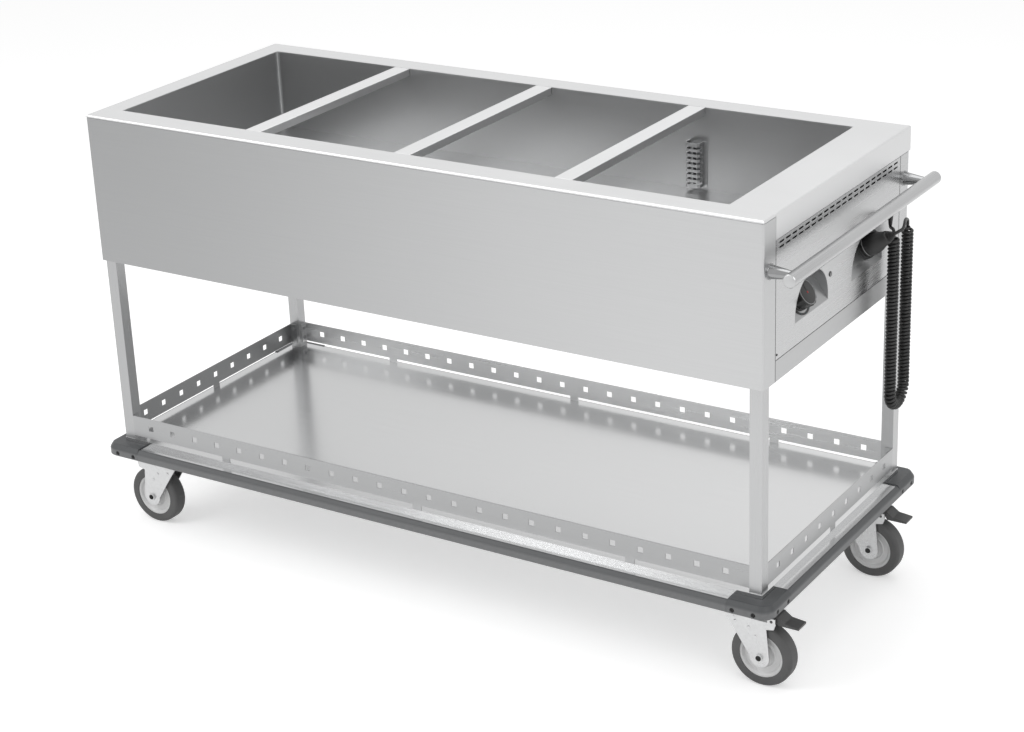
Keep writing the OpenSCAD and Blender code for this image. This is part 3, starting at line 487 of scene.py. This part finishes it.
@dataclass(frozen=True)
class Moulding:
    """Plastic, rubber or paint with a fine grain and a little dust."""

    name: str
    base: tuple[float, float, float, float]
    dust: tuple[float, float, float, float]
    scale: float
    rough: float
    bump: float = 0.15
    metal: float = 0.0
    coat: float = 0.0

    def build(self, shared: SharedNodes) -> bpy.types.Material:
        """Make the material.

        Args:
            shared: The shared node groups.

        Returns:
            The new material.
        """
        material = bpy.data.materials.new(self.name)
        material.use_nodes = True
        nodes, link = material.node_tree.nodes, material.node_tree.links.new
        shader = nodes["Principled BSDF"]
        shader.inputs["Metallic"].default_value = self.metal
        shader.inputs["Coat Weight"].default_value = self.coat
        where = nodes.new("ShaderNodeTexCoord")
        grain = nodes.new("ShaderNodeGroup")
        grain.node_tree = shared.fleck
        grain.inputs["Base"].default_value = self.base
        grain.inputs["Dust"].default_value = self.dust
        grain.inputs["Scale"].default_value = self.scale
        grain.inputs["Rough"].default_value = self.rough
        link(where.outputs["Object"], grain.inputs["Vector"])
        bump = nodes.new("ShaderNodeBump")
        bump.inputs["Strength"].default_value = self.bump
        bump.inputs["Distance"].default_value = MM
        link(grain.outputs["Height"], bump.inputs["Height"])
        link(grain.outputs["Color"], shader.inputs["Base Color"])
        link(grain.outputs["Roughness"], shader.inputs["Roughness"])
        link(bump.outputs["Normal"], shader.inputs["Normal"])
        return material


# Where a steel's two brightness numbers differ, the ramp between them is painted light and shade: the front
# panel, the other panels, the cover, legs, shelf, end rails and zinc parts are painted lighter towards the
# control end, and the front rail is painted darker than the rear one.
FINISHES: dict[str, Steel | Moulding] = {
    "worktop": Steel("worktop_steel", 0.68, 0.68, Grain.ALONG_X, 0.30, 0.42, 0.02),
    "front": Steel("front_panel_steel", 0.345, 0.52, Grain.ALONG_X, 0.30, 0.42, 0.03),
    "panel": Steel("panel_steel", 0.48, 0.51, Grain.ALONG_Y, 0.22, 0.34, 0.015, 0.008),
    "well": Steel("well_steel", 0.46, 0.46, Grain.ALONG_X, 0.30, 0.38, 0.01, 0.004),
    "cover": Steel("cover_steel", 0.45, 0.50, Grain.ALONG_X, 0.35, 0.5),
    "bar": Steel("divider_steel", 0.74, 0.74, Grain.ALONG_Y, 0.28, 0.40, 0.02),
    "leg": Steel("leg_steel", 0.40, 0.47, Grain.ALONG_Z, 0.25, 0.38, 0.03),
    "shelf": Steel("shelf_steel", 0.55, 0.68, Grain.ALONG_X, 0.14, 0.24, 0.02, 0.01),
    "rail": Steel("rail_steel", 0.38, 0.60, Grain.ALONG_X, 0.26, 0.4, 0.03,
                  shade_axis=(0.0, 1.0, 0.0), shade_from=-0.3, shade_to=0.3),
    "rail_end": Steel("end_rail_steel", 0.34, 0.43, Grain.ALONG_Y, 0.26, 0.4, 0.03),
    "bar_end": Steel("turned_end_steel", 0.52, 0.52, Grain.EVEN, 0.4, 0.55, 0.03),
    "heater": Steel("heater_sheath", 0.12, 0.12, Grain.EVEN, 0.45, 0.6, 0.1),
    "zinc": Steel("zinc_plate", 0.58, 0.62, Grain.EVEN, 0.24, 0.40, 0.06, 0.05),
    "pedal": Moulding("pedal_paint", grey(0.06), grey(0.085), 700, 0.42, 0.12),
    "handle": Steel("handle_steel", 0.47, 0.47, Grain.ALONG_Y, 0.24, 0.36, 0.04, 0.01),
    "post": Steel("post_steel", 0.30, 0.30, Grain.EVEN, 0.10, 0.16, 0.03, 0.004),
    "pocket": Steel("pocket_steel", 0.35, 0.35, Grain.ALONG_Y, 0.26, 0.38, 0.03, 0.01),
    "bolt": Steel("bolt_steel", 0.40, 0.40, Grain.EVEN, 0.3, 0.45, 0.06, 0.05),
    "brass": Moulding("cast_brass", (0.60, 0.42, 0.16, 1), (0.45, 0.32, 0.12, 1), 300, 0.25, 0.1, 1.0),
    # Bumper and corner pieces: painted shade, the colour goes from lighter on the front face to darker on the
    # top.
    "bumper": Steel("bumper_vinyl", 0.165, 0.085, Grain.EVEN, 0.45, 0.6, 0.08, 0.05, 0.0,
                    shade_axis=(0.0, 0.0, 1.0), shade_from=0.1925, shade_to=0.1995),
    "corner": Steel("corner_moulding", 0.155, 0.062, Grain.EVEN, 0.4, 0.55, 0.08, 0.05, 0.0,
                    shade_axis=(0.0, 0.0, 1.0), shade_from=0.1925, shade_to=0.1995),
    "black": Moulding("black_moulding", grey(0.012), grey(0.02), 1400, 0.34, 0.1),
    "rubber": Moulding("black_rubber", grey(0.010), grey(0.018), 900, 0.40, 0.1),
    "cord": Moulding("cord_sheath", grey(0.009), grey(0.016), 900, 0.36, 0.05),
    "screw": Moulding("blackened_screw", grey(0.02), grey(0.05), 700, 0.35, 0.1, 1.0),
    "lever": Moulding("red_grip", (0.42, 0.015, 0.015, 1), (0.35, 0.02, 0.02, 1), 600, 0.3, 0.1),
    "tyre": Moulding("grey_rubber", grey(0.085), grey(0.12), 600, 0.55, 0.2),
    "hub": Moulding("nylon_hub", grey(0.72), grey(0.66), 500, 0.38, 0.1),
    "red": Moulding("red_mark", (0.35, 0.012, 0.012, 1), (0.3, 0.01, 0.01, 1), 400, 0.3, 0.02),
    "teal": Moulding("teal_mark", (0.02, 0.12, 0.14, 1), (0.02, 0.1, 0.12, 1), 400, 0.4, 0.02),
    "lamp": Moulding("lamp_lens", (0.02, 0.02, 0.022, 1), (0.03, 0.03, 0.03, 1), 400, 0.12, 0.02, 0.0, 0.6),
    "seam": Moulding("dark_joint", grey(0.03), grey(0.05), 500, 0.6, 0.02),
    "pale": Moulding("pale_ring", grey(0.42), grey(0.36), 500, 0.4, 0.02),
}


class Workshop:
    """Keeps the frame, the finishes and the list of finished pieces."""

    def __init__(self, frame: dict) -> None:
        """Build every finish once.
        """
        self.frame = frame
        shared = SharedNodes()
        self.materials = {key: finish.build(shared) for key, finish in FINISHES.items()}

    def dress_node(self, node: str, finish: str) -> None:
        """Give a carried-over CAD node its material.

        Args:
            node: Name of the node.
            finish: Key of its finish.
        """
        obj = self.frame["nodes"][node]
        obj.data.materials.clear()
        obj.data.materials.append(self.materials[finish])
        log.info("dressed %s with %s", node, finish)

    def add(self, obj: bpy.types.Object, finish: str, body: str, slot: str,
            replaces: tuple[str, ...] = ()) -> bpy.types.Object:
        """Finish a new piece: its material, its body and what it stands for.

        Args:
            obj: The piece, in its place.
            finish: Key of its finish.
            body: The CAD body that it rides on.
            slot: Not used.
            replaces: CAD nodes that it stands for.

        Returns:
            The same piece.
        """
        obj.data.materials.clear()
        obj.data.materials.append(self.materials[finish])
        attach(obj, body)
        if replaces:
            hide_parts(*replaces)
        log.info("made %s on %s", obj.name, body)
        return obj


@dataclass
class Studio:
    """Camera at the photograph's angle, soft lights, a pale floor and a white surround."""

    azimuth: float = 33.175
    elevation: float = 22.484
    roll: float = -2.386
    focal_px: float = 2264.926
    image_w: int = 1024
    camera_at: tuple[float, float, float] = (2359.9, -3549.9, 2169.8)
    aim_z: float = 0.6
    sky: float = 0.62
    floor_size: float = 30.0
    floor_tone: float = 0.80
    floor_glow: float = 0.42
    lamps: tuple[tuple, ...] = (
        ("key", (-2.2, -2.6, 3.4), 2.4, 62),
        ("fill", (3.2, -1.6, 2.6), 2.2, 26),
        ("top", (0.3, 0.4, 3.6), 2.6, 34))

    def camera(self) -> None:
        """Place the camera."""
        az, el, roll = (math.radians(a) for a in (self.azimuth, self.elevation, self.roll))
        back = Vector((math.sin(az) * math.cos(el), -math.cos(az) * math.cos(el), math.sin(el)))
        side = Vector((math.cos(az), math.sin(az), 0))
        up = back.cross(side)
        right = math.cos(roll) * side + math.sin(roll) * up
        top = -math.sin(roll) * side + math.cos(roll) * up
        data = bpy.data.cameras.new("view")
        data.sensor_width = 36.0
        data.lens = self.focal_px * data.sensor_width / self.image_w
        data.clip_start, data.clip_end = 0.1, 100.0
        camera = bpy.data.objects.new("view", data)
        bpy.context.collection.objects.link(camera)
        turn = Matrix((right, top, back)).transposed().to_4x4()
        camera.matrix_world = Matrix.Translation(mm(*self.camera_at)) @ turn
        bpy.context.scene.camera = camera

    def lamp(self, name: str, at: tuple[float, float, float], size: float, power: float) -> None:
        """A soft area lamp aimed at the trolley.

        Args:
            name: Name of the lamp.
            at: Where it stands, in metres.
            size: Side of the lamp, in metres.
            power: Its power in watts.
        """
        data = bpy.data.lights.new(name, "AREA")
        data.size = size
        data.energy = power
        lamp = bpy.data.objects.new(name, data)
        bpy.context.collection.objects.link(lamp)
        lamp.location = at
        aim = Vector((0, 0, self.aim_z)) - Vector(at)
        lamp.rotation_euler = aim.to_track_quat("-Z", "Y").to_euler()

    def surround(self) -> None:
        """World and floor: plain light on the object, white where the camera or a mirror looks."""
        scene = bpy.context.scene
        scene.view_settings.view_transform = "Standard"
        world = bpy.data.worlds.new("surround")
        scene.world = world
        world.use_nodes = True
        nodes, link = world.node_tree.nodes, world.node_tree.links.new
        sky = nodes["Background"]
        sky.inputs["Color"].default_value = (1, 1, 1, 1)
        path = nodes.new("ShaderNodeLightPath")
        seen = nodes.new("ShaderNodeMath")
        seen.operation = "MAXIMUM"
        link(path.outputs["Is Camera Ray"], seen.inputs[0])
        link(path.outputs["Is Glossy Ray"], seen.inputs[1])
        through = nodes.new("ShaderNodeMath")
        through.operation = "MAXIMUM"
        link(seen.outputs[0], through.inputs[0])
        link(path.outputs["Is Transmission Ray"], through.inputs[1])
        level = nodes.new("ShaderNodeMapRange")
        level.inputs["To Min"].default_value = self.sky
        level.inputs["To Max"].default_value = 1.0
        link(through.outputs[0], level.inputs["Value"])
        link(level.outputs["Result"], sky.inputs["Strength"])
        self.floor()

    def floor(self) -> None:
        """A wide pale floor that keeps the trolley's shadow."""
        deselect()
        bpy.ops.mesh.primitive_plane_add(size=self.floor_size, location=(0, 0, 0))
        floor = bpy.context.object
        floor.name = "floor"
        material = bpy.data.materials.new("pale_floor")
        material.use_nodes = True
        nodes, link = material.node_tree.nodes, material.node_tree.links.new
        shader = nodes["Principled BSDF"]
        shader.inputs["Base Color"].default_value = grey(self.floor_tone)
        shader.inputs["Roughness"].default_value = 0.9
        shader.inputs["Specular IOR Level"].default_value = 0.0
        shader.inputs["Emission Color"].default_value = (1, 1, 1, 1)
        path = nodes.new("ShaderNodeLightPath")
        seen = nodes.new("ShaderNodeMath")
        seen.operation = "MAXIMUM"
        link(path.outputs["Is Camera Ray"], seen.inputs[0])
        link(path.outputs["Is Glossy Ray"], seen.inputs[1])
        glow = nodes.new("ShaderNodeMath")
        glow.operation = "MULTIPLY"
        glow.inputs[1].default_value = self.floor_glow
        link(seen.outputs[0], glow.inputs[0])
        link(glow.outputs[0], shader.inputs["Emission Strength"])
        floor.data.materials.append(material)

    def build(self) -> None:
        """Camera, lamps, world and floor."""
        self.camera()
        for name, at, size, power in self.lamps:
            self.lamp(name, at, size, power)
        self.surround()


@dataclass
class CurlyCord:
    """Mains cord: from the gland down one run of curls, round the loop and up to the plug."""

    workshop: Workshop
    diameter: float = 6.2
    curl_r: float = 8.6
    run_pitch: float = 7.25
    bend_pitch: float = 7.7
    points_per_curl: int = 14
    coil_x: float = 790.0
    near_y: float = 166.0
    far_y: float = 230.0
    top_z: float = 762.0
    low_z: float = 438.0
    exit: tuple[float, float, float] = (773.5, 186.0, 770.0)
    tail: list[tuple[float, float, float]] = field(default_factory=lambda: [
        (773.5, 186, 767), (775.5, 184, 765.5), (780, 178.5, 766), (786, 171, 767)])
    lead: list[tuple[float, float, float]] = field(default_factory=lambda: [
        (790, 229, 768), (791, 223, 772), (793, 214, 775), (796, 204, 777), (800, 192, 778),
        (804, 181, 778), (808, 169, 777), (810, 158, 775.5), (807, 149, 773.5)])

    def coil(self) -> list[Vector]:
        """Centreline of the curls, from the gland's side to the plug's.

        Returns:
            The points in millimetres.
        """
        bend = (self.far_y - self.near_y) / 2
        run = self.top_z - self.low_z
        length = 2 * run + math.pi * bend
        middle = (self.far_y + self.near_y) / 2
        step = self.run_pitch / self.points_per_curl
        total = round((length - 2 * self.diameter) / step)
        points = []
        angle = 0.0
        for i in range(total + 1):
            s = self.diameter + i * (length - 2 * self.diameter) / total
            if s < run:
                at, side = Vector((self.coil_x, self.near_y, self.top_z - s)), Vector((0, -1, 0))
            elif s < length - run:
                turn = (s - run) / bend
                side = Vector((0, -math.cos(turn), -math.sin(turn)))
                at = Vector((self.coil_x, middle, self.low_z)) + bend * side
            else:
                at, side = Vector((self.coil_x, self.far_y, self.top_z - (length - s))), Vector((0, 1, 0))
            from_end = min(s, length - s) - self.diameter
            grown = min(1.0, from_end / self.run_pitch)
            from_bend = length / 2 + self.diameter - run + bend - abs(s - length / 2)
            into_bend = min(1.0, max(0.0, from_bend / bend))
            pitch = self.run_pitch + (self.bend_pitch - self.run_pitch) * into_bend
            reach = self.curl_r * max(0.0, grown)
            points.append(at + reach * (math.cos(angle) * Vector((1, 0, 0)) + math.sin(angle) * side))
            angle += 2 * math.pi * step / pitch
        return points

    def route(self, plug_end: Vector) -> list[Vector]:
        """The whole centreline in the row frame.

        Args:
            plug_end: The point on the plug's end face, in millimetres of the body's frame.

        Returns:
            The points in metres.
        """
        stretch = [Vector(self.exit), *map(Vector, self.tail), Vector((self.coil_x, self.near_y, self.top_z))]
        back = [Vector((self.coil_x, self.far_y, self.top_z)), *map(Vector, self.lead), plug_end]
        return [mm(*p) for p in [*self.rounded(stretch), *self.coil(), *self.rounded(back)]]

    @staticmethod
    def rounded(points: list[Vector], steps: int = 3) -> list[Vector]:
        """More points along a smooth curve through the given ones.

        Args:
            points: The points to pass through.
            steps: New points for each stretch.

        Returns:
            The finer list.
        """
        ends = [2 * points[0] - points[1], *points, 2 * points[-1] - points[-2]]
        fine = []
        for a, b, c, d in zip(ends, ends[1:], ends[2:], ends[3:]):
            for k in range(steps):
                t = k / steps
                fine.append(0.5 * (2 * b + (c - a) * t + (2 * a - 5 * b + 4 * c - d) * t * t
                                   + (3 * b - a - 3 * c + d) * t ** 3))
        return [*fine, points[-1]]

    def build(self, plug_end: Vector, plug: bpy.types.Object, gland: bpy.types.Object) -> None:
        """Args:
            plug_end: The point on the plug's end face, in millimetres.
            plug: Not used.
            gland: Not used.
        """
        points = self.route(plug_end)
        curve = bpy.data.curves.new("curly_cord", "CURVE")
        curve.dimensions = "3D"
        curve.bevel_depth = self.diameter / 2 * MM
        curve.bevel_resolution = 2
        curve.use_fill_caps = True
        spline = curve.splines.new("POLY")
        spline.points.add(len(points) - 1)
        for slot, point in zip(spline.points, points):
            slot.co = (*point, 1.0)
        spline.use_smooth = True
        cord = bpy.data.objects.new("curly_cord", curve)
        bpy.context.collection.objects.link(cord)
        self.workshop.add(cord, "cord", "trolley", "cord_black", ("cord_lead", "cord_coil", "cord_tail"))


@dataclass
class Controls:
    """Knob with its dial, and the parked plug, on the tilted floors of the control end's pockets."""

    workshop: Workshop
    tilt: float = 31.0
    pocket_z: float = 701.0
    along_floor: float = 36.0
    knob_y: float = -141.0
    grip_base: float = 3.4
    grip_h: float = 20.4
    flute_step: float = 30.0
    flute_wide: float = 11.0
    flute_share: float = 0.95
    dial_r: float = 33.0
    dial_h: float = 0.9
    dial_marks: int = 9
    dial_step: float = 30.0
    plug_y: float = 145.0
    socket_h: float = 6.0
    plug_l: float = 63.0
    plug_r: float = 21.5

    def axis(self) -> Vector:
        """The pockets' tilted axis."""
        a = math.radians(self.tilt)
        return Vector((math.cos(a), 0, math.sin(a)))

    def floor_point(self, y: float, height: float = 0.0) -> Vector:
        """A point over a pocket's floor.

        Args:
            y: Its place across the trolley.
            height: How far it stands off the floor.

        Returns:
            The point in millimetres of the body's frame.
        """
        a = math.radians(self.tilt)
        base = Vector((HALF_L - self.along_floor * math.sin(a), y,
                       self.pocket_z + self.along_floor * math.cos(a)))
        return base + height * self.axis()

    def place(self, y: float, height: float = 0.0, roll: float = 0.0) -> Matrix:
        """A place on a pocket's floor, with local Z along the tilted axis and X down the floor.

        Args:
            y: Its place across the trolley.
            height: How far it stands off the floor.
            roll: Turn about the axis, in degrees.

        Returns:
            The place in the row frame.
        """
        a = math.radians(90 - self.tilt)
        turn = Matrix.Rotation(a, 4, "Y") @ Matrix.Rotation(math.radians(roll), 4, "Z")
        return Matrix.Translation(mm(*self.floor_point(y, height))) @ turn

    def flute(self, grip: bpy.types.Object, inner_r: float) -> None:
        """Draw in stretches of a grip's side.

        Args:
            grip: The grip, about its own Z axis.
            inner_r: Points nearer the axis than this stay, in millimetres.
        """
        activate(grip)
        bpy.ops.object.mode_set(mode="EDIT")
        shape = bmesh.from_edit_mesh(grip.data)
        for vert in shape.verts:
            turn = math.degrees(math.atan2(vert.co.y, vert.co.x)) % self.flute_step
            vert.select = vert.co.xy.length > inner_r * MM and turn < self.flute_wide
        shape.select_flush_mode()
        bmesh.update_edit_mesh(grip.data)
        share = self.flute_share
        bpy.ops.transform.resize(value=(share, share, 1.0), center_override=(0, 0, 0))
        bpy.ops.object.mode_set(mode="OBJECT")

    def knob(self) -> None:
        """Knob with a skirt, a fluted grip, a rib, a red mark and a thin rim ring."""
        edge = [(26.2, 0.3), (27, 1.1), (27, 2.4), (26.4, 3.2), (25, 3.6)]
        skirt = lathe("knob_skirt", [(0, 0.3), *edge, (0, 3.6)], 64)
        grip = rod("knob_grip", 26, self.grip_h, 72, 1.1)
        self.flute(grip, 22)
        grip.data.transform(Matrix.Translation((0, 0, self.grip_base * MM)))
        rib = rod("knob_rib", 2.2, 1.0, 24, 0.3)
        rib.data.transform(Matrix.Translation((-11 * MM, 0, 23.4 * MM)) @ Matrix.Scale(3.4, 4, (1, 0, 0)))
        knob = join([skirt, grip, rib], "knob_body")
        settle(knob, self.place(self.knob_y))
        self.workshop.add(knob, "black", "knob", "black_plastic", ("knob",))
        dot = lathe("knob_mark", [(0, 0), (1.9, 0), (1.9, 0.5), (1.5, 0.7), (0, 0.8)], 24)
        settle(dot, self.place(self.knob_y) @ Matrix.Translation((0, 0, 23.7 * MM)))
        self.workshop.add(dot, "red", "knob", "black_plastic")
        rim = lathe("knob_rim", [(22.4, 23.6), (23.2, 23.6), (23.2, 24.0), (22.4, 24.0), (22.4, 23.6)], 64)
        settle(rim, self.place(self.knob_y))
        self.workshop.add(rim, "bolt", "knob", "black_plastic")

    def dial(self) -> None:
        """Small marks on the ring round the knob, evenly to both sides of the way down the floor."""
        tick = rod("tick", 0.55, 0.35, 8, 0.1)
        tick.data.transform(Matrix.Scale(2.4, 4, (1, 0, 0)))
        places = []
        for k in range(self.dial_marks):
            turn = math.radians(self.dial_step * (k - (self.dial_marks - 1) / 2))
            at = Vector((self.dial_r * math.cos(turn), self.dial_r * math.sin(turn), self.dial_h))
            spot = Matrix.Translation(at * MM)
            places.append(self.place(self.knob_y) @ spot @ Matrix.Rotation(turn, 4, "Z"))
        self.workshop.add(copies(tick, places, "dial_marks"), "teal", "trolley", "black_plastic")

    def plug(self) -> bpy.types.Object:
        """Plug with a collar, a body that draws in and a ribbed bend relief.

        Returns:
            The plug's piece.
        """
        r, l = self.plug_r, self.plug_l
        profile = [(0, -2.6), (18.3, -2.6), (18.5, -0.1), (r - 0.6, 0), (r, 0.6), (r, 2.4),
                   (r - 1.5, 3.0), (r - 1.5, 4.8), (r - 0.2, 5.4), (r, 6.5), (r, 17), (r - 0.5, 20),
                   (r - 1.6, 25), (r - 4, 31), (r - 6.6, 37), (r - 8.3, 43), (r - 9.1, 49), (r - 10.2, 51)]
        ribs = 4
        for k in range(ribs):
            z = 51.4 + k * (l - 52.5) / ribs
            wide = 10.6 - k * 1.35
            profile += [(wide, z), (wide, z + 1.5), (wide - 1.7, z + 1.9), (wide - 1.8, z + 2.6)]
        profile += [(5.0, l - 0.4), (4.4, l), (0, l)]
        body = lathe("plug_body", profile, 56)
        settle(body, self.place(self.plug_y, self.socket_h))
        self.workshop.add(body, "rubber", "trolley", "plug_black", ("plug",))
        inner, outer = r - 1.6, r - 0.7
        ring = lathe("plug_ring", [(inner, 3.3), (outer, 3.3), (outer, 4.5), (inner, 4.5), (inner, 3.3)])
        settle(ring, self.place(self.plug_y, self.socket_h))
        self.workshop.add(ring, "pale", "trolley", "plug_black")
        return body

    def build(self) -> tuple[bpy.types.Object, bpy.types.Object]:
        """Make the knob, its dial and the plug.

        Returns:
            The plug's piece and the gland's piece, for the cord.
        """
        self.knob()
        self.dial()
        plug = self.plug()
        return plug, self.workshop.frame["nodes"]["cord_gland"]


@dataclass
class Body:
    """Small fittings of the body: joints of the control panel, bar ends, seam screw and post collars."""

    workshop: Workshop
    handle_x: float = 806.9
    handle_z: float = 829.4
    handle_l: float = 631.0
    post_y: float = 285.0
    seam_screw_y: float = -258.5
    seam_screw_z: float = 666.6
    seam_sunk: float = 0.3
    seam_lip: float = 0.25
    seam_half: tuple[float, float] = (0.4, 0.5)
    panel_side: float = 264.0
    body_z: float = 617.0
    strip_z: float = 657.0
    panel_top: float = 879.0

    def bar_ends(self) -> None:
        """Turned caps in both ends of the push bar."""
        cap = lathe("bar_cap", [(0, 0), (11.2, 0), (11.2, 0.5), (10.6, 0.9), (2, 1.1), (0, 1.1)], 48)
        places = [facing(Vector((0, s, 0)), mm(self.handle_x, s * (self.handle_l / 2 - 0.2), self.handle_z))
                  for s in (-1, 1)]
        self.workshop.add(copies(cap, places, "bar_caps"), "bar_end", "trolley", "handle_steel")

    def seam_dot(self) -> None:
        """One small dark screw beside the lower seam of the control end."""
        dot = lathe("dot", [(0, -0.4), (2.2, -0.4), (2.2, 0.5), (1.5, 1.1), (0, 1.2)], 24)
        settle(dot, facing(Vector((1, 0, 0)), mm(HALF_L, self.seam_screw_y, self.seam_screw_z)))
        dot.name = "seam_screw"
        self.workshop.add(dot, "screw", "trolley", "screw_steel")

    def post_collars(self) -> None:
        """Thin flanges where the posts meet the panel."""
        collar = lathe("collar", [(0, 0), (14.6, 0), (14.6, 0.8), (14.0, 1.4), (0, 1.4)], 48)
        places = [facing(Vector((1, 0, 0)), mm(HALF_L, s * self.post_y, self.handle_z)) for s in (-1, 1)]
        self.workshop.add(copies(collar, places, "post_collars"), "post", "trolley", "handle_steel")

    def strip(self, name: str, y: tuple[float, float], z: tuple[float, float]) -> bpy.types.Object:
        """A thin bar on the control end.

        Args:
            name: Name of the bar.
            y: Its ends across the trolley, in millimetres.
            z: Its bottom and top, in millimetres.

        Returns:
            The bar.
        """
        low = (HALF_L - self.seam_sunk, y[0], z[0])
        high = (HALF_L + self.seam_lip, y[1], z[1])
        deselect()
        bpy.ops.mesh.primitive_cube_add(size=1)
        bar = bpy.context.object
        bar.name = name
        size = [(b - a) * MM for a, b in zip(low, high)]
        bar.data.transform(Matrix.Diagonal((*size, 1)))
        bar.data.transform(Matrix.Translation((mm(*low) + mm(*high)) / 2))
        return bar

    def seams(self) -> None:
        """The dark joints round the control panel."""
        side, upright, level = self.panel_side, self.seam_half[0], self.seam_half[1]
        bars = [self.strip("seam_low", (-side, side), (self.strip_z - level, self.strip_z + level))]
        for name, y in (("seam_front", -side), ("seam_rear", side)):
            bars.append(self.strip(name, (y - upright, y + upright), (self.body_z, self.panel_top)))
        self.workshop.add(join(bars, "panel_seams"), "seam", "trolley", "panel_steel")

    def build(self) -> None:
        """Make all small fittings of the body."""
        self.seams()
        self.bar_ends()
        self.seam_dot()
        self.post_collars()


@dataclass
class Undercarriage:
    """Screws and rivets of the bumper and the casters."""

    workshop: Workshop
    outer_x: float = 784.3
    outer_y: float = 335.7
    screw_z: float = 188.75
    swivel_x: float = 694.0
    swivel_y: float = 244.5
    trail: float = 36.0
    screws_x: tuple[float, float] = (33, 75.5)
    screws_y: tuple[float, float] = (34, 77)
    head_in: float = 2.0
    cap_out: float = 26.4
    cheek_out: float = 22.5
    rivets: tuple[tuple[float, float], ...] = ((-14, 127), (14, 121), (28, 105))
    race_z: float = 145.5
    hub_out: float = 9.0

    def bumper_screws(self) -> None:
        """Round heads with a small hollow, in the bumper's corner pieces."""
        rim = [(4, -0.2), (4, 0.6), (3.2, 1.4)]
        head = lathe("head", [(0, -0.2), *rim, (1.4, 1.6), (1.1, 0.9), (0, 0.8)], 24)
        places = []
        for sx in (-1, 1):
            for sy in (-1, 1):
                for x in self.screws_x:
                    at = mm(sx * (self.outer_x - x), sy * (self.outer_y - self.head_in), self.screw_z)
                    places.append(facing(Vector((0, sy, 0)), at))
                for y in self.screws_y:
                    at = mm(sx * (self.outer_x - self.head_in), sy * (self.outer_y - y), self.screw_z)
                    places.append(facing(Vector((sx, 0, 0)), at))
        piece = copies(head, places, "bumper_screw_heads")
        self.workshop.add(piece, "screw", "trolley", "black_screw", ("bumper_screws",))

    def fork_details(self, name: str, sx: int, sy: int) -> None:
        """Washers, rivets and the bearing's lip on one fork.

        Args:
            name: Where the caster is, such as front_left.
            sx: Side along X.
            sy: Side along Y.
        """
        cx, cy = sx * self.swivel_x, sy * self.swivel_y
        cap = lathe("axle_cap", [(0, 0), (5.6, 0), (5.6, 0.5), (4.8, 1.2), (0, 1.4)], 28)
        rivet = lathe("rivet", [(0, -0.2), (3.0, -0.2), (3.0, 0.5), (2.2, 1.3), (0, 1.6)], 20)
        spots, dots = [], []
        for side in (-1, 1):
            out = Vector((0, side, 0))
            spots.append(facing(out, mm(cx + sx * self.trail, cy + side * self.cap_out, WHEEL_R)))
            dots += [facing(out, mm(cx + sx * x, cy + side * self.cheek_out, z)) for x, z in self.rivets]
        self.workshop.add(copies(cap, spots, "axle_caps_" + name), "screw", "swivel_" + name, "zinc")
        made = copies(rivet, dots, "rivets")
        lip = lathe("lip", [(29.0, 0), (30.6, 0.6), (30.6, 2.6), (29.4, 3.4), (29.0, 3.4), (29.0, 0)], 48)
        settle(lip, Matrix.Translation(mm(cx, cy, self.race_z)))
        piece = join([made, lip], "fork_trim_" + name)
        self.workshop.add(piece, "zinc", "swivel_" + name, "zinc")

    def hub_rings(self, name: str, sx: int, sy: int) -> None:
        """A raised ring on both faces of one hub.

        Args:
            name: Where the caster is.
            sx: Side along X.
            sy: Side along Y.
        """
        top = [(27, 0.8), (26.4, 1.4), (24.6, 1.4), (24, 0.8)]
        ring = lathe("ring", [(24, -0.4), (27, -0.4), *top, (24, -0.4)])
        at_x, at_y = sx * (self.swivel_x + self.trail), sy * self.swivel_y
        places = [facing(Vector((0, side, 0)), mm(at_x, at_y + side * self.hub_out, WHEEL_R))
                  for side in (-1, 1)]
        self.workshop.add(copies(ring, places, "hub_rings_" + name), "hub", "wheel_" + name, "hub_grey")

    def build(self) -> None:
        """Make all small pieces below the shelf."""
        self.bumper_screws()
        for y, sy in (("front", -1), ("rear", 1)):
            for x, sx in (("left", -1), ("right", 1)):
                self.fork_details(y + "_" + x, sx, sy)
                self.hub_rings(y + "_" + x, sx, sy)


CORNERS = [y + "_" + x for y in ("front", "rear") for x in ("left", "right")]
DRESS: dict[str, list[str]] = {
    "worktop": ["top_frame"],
    "front": ["front_panel"],
    "panel": ["rear_panel", "left_end_panel", "control_panel"],
    "pocket": ["control_pockets"],
    "well": ["basin", "probe_guard"],
    "cover": ["bottom_cover", "cross_beam_left", "cross_beam_right"],
    "bar": ["divider_bar_1", "divider_bar_2", "divider_bar_3"],
    "leg": ["leg_" + c for c in CORNERS],
    "shelf": ["shelf"],
    "rail": ["rail_front", "rail_rear"],
    "rail_end": ["rail_left", "rail_right"],
    "bolt": ["rail_screws"],
    "handle": ["handle_bar"],
    "post": ["handle_posts"],
    "heater": ["heating_element", "probe"],
    "zinc": ["caster_plates", *["fork_" + c for c in CORNERS]],
    "pedal": ["brake_pedal_front", "brake_pedal_rear"],
    "brass": ["drain_valve"],
    "lever": ["drain_lever"],
    "bumper": ["bumper_front", "bumper_rear", "bumper_left", "bumper_right"],
    "corner": ["bumper_corners"],
    "black": ["thermostat", "parking_socket", "cord_gland"],
    "lamp": ["pilot_lamp"],
    "hub": ["hub_" + c for c in CORNERS],
    "tyre": ["tyre_" + c for c in CORNERS],
}


def main() -> None:
    """Build the studio, the cord and every piece of the trolley."""
    logging.basicConfig(level=logging.INFO, format="%(name)s: %(message)s")
    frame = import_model()
    Studio().build()
    workshop = Workshop(frame)
    controls = Controls(workshop)
    plug, gland = controls.build()
    plug_end = controls.floor_point(controls.plug_y, controls.socket_h + controls.plug_l)
    CurlyCord(workshop).build(plug_end, plug, gland)
    Body(workshop).build()
    Undercarriage(workshop).build()
    for finish, nodes in DRESS.items():
        for node in nodes:
            workshop.dress_node(node, finish)


if __name__ == "__main__":
    main()
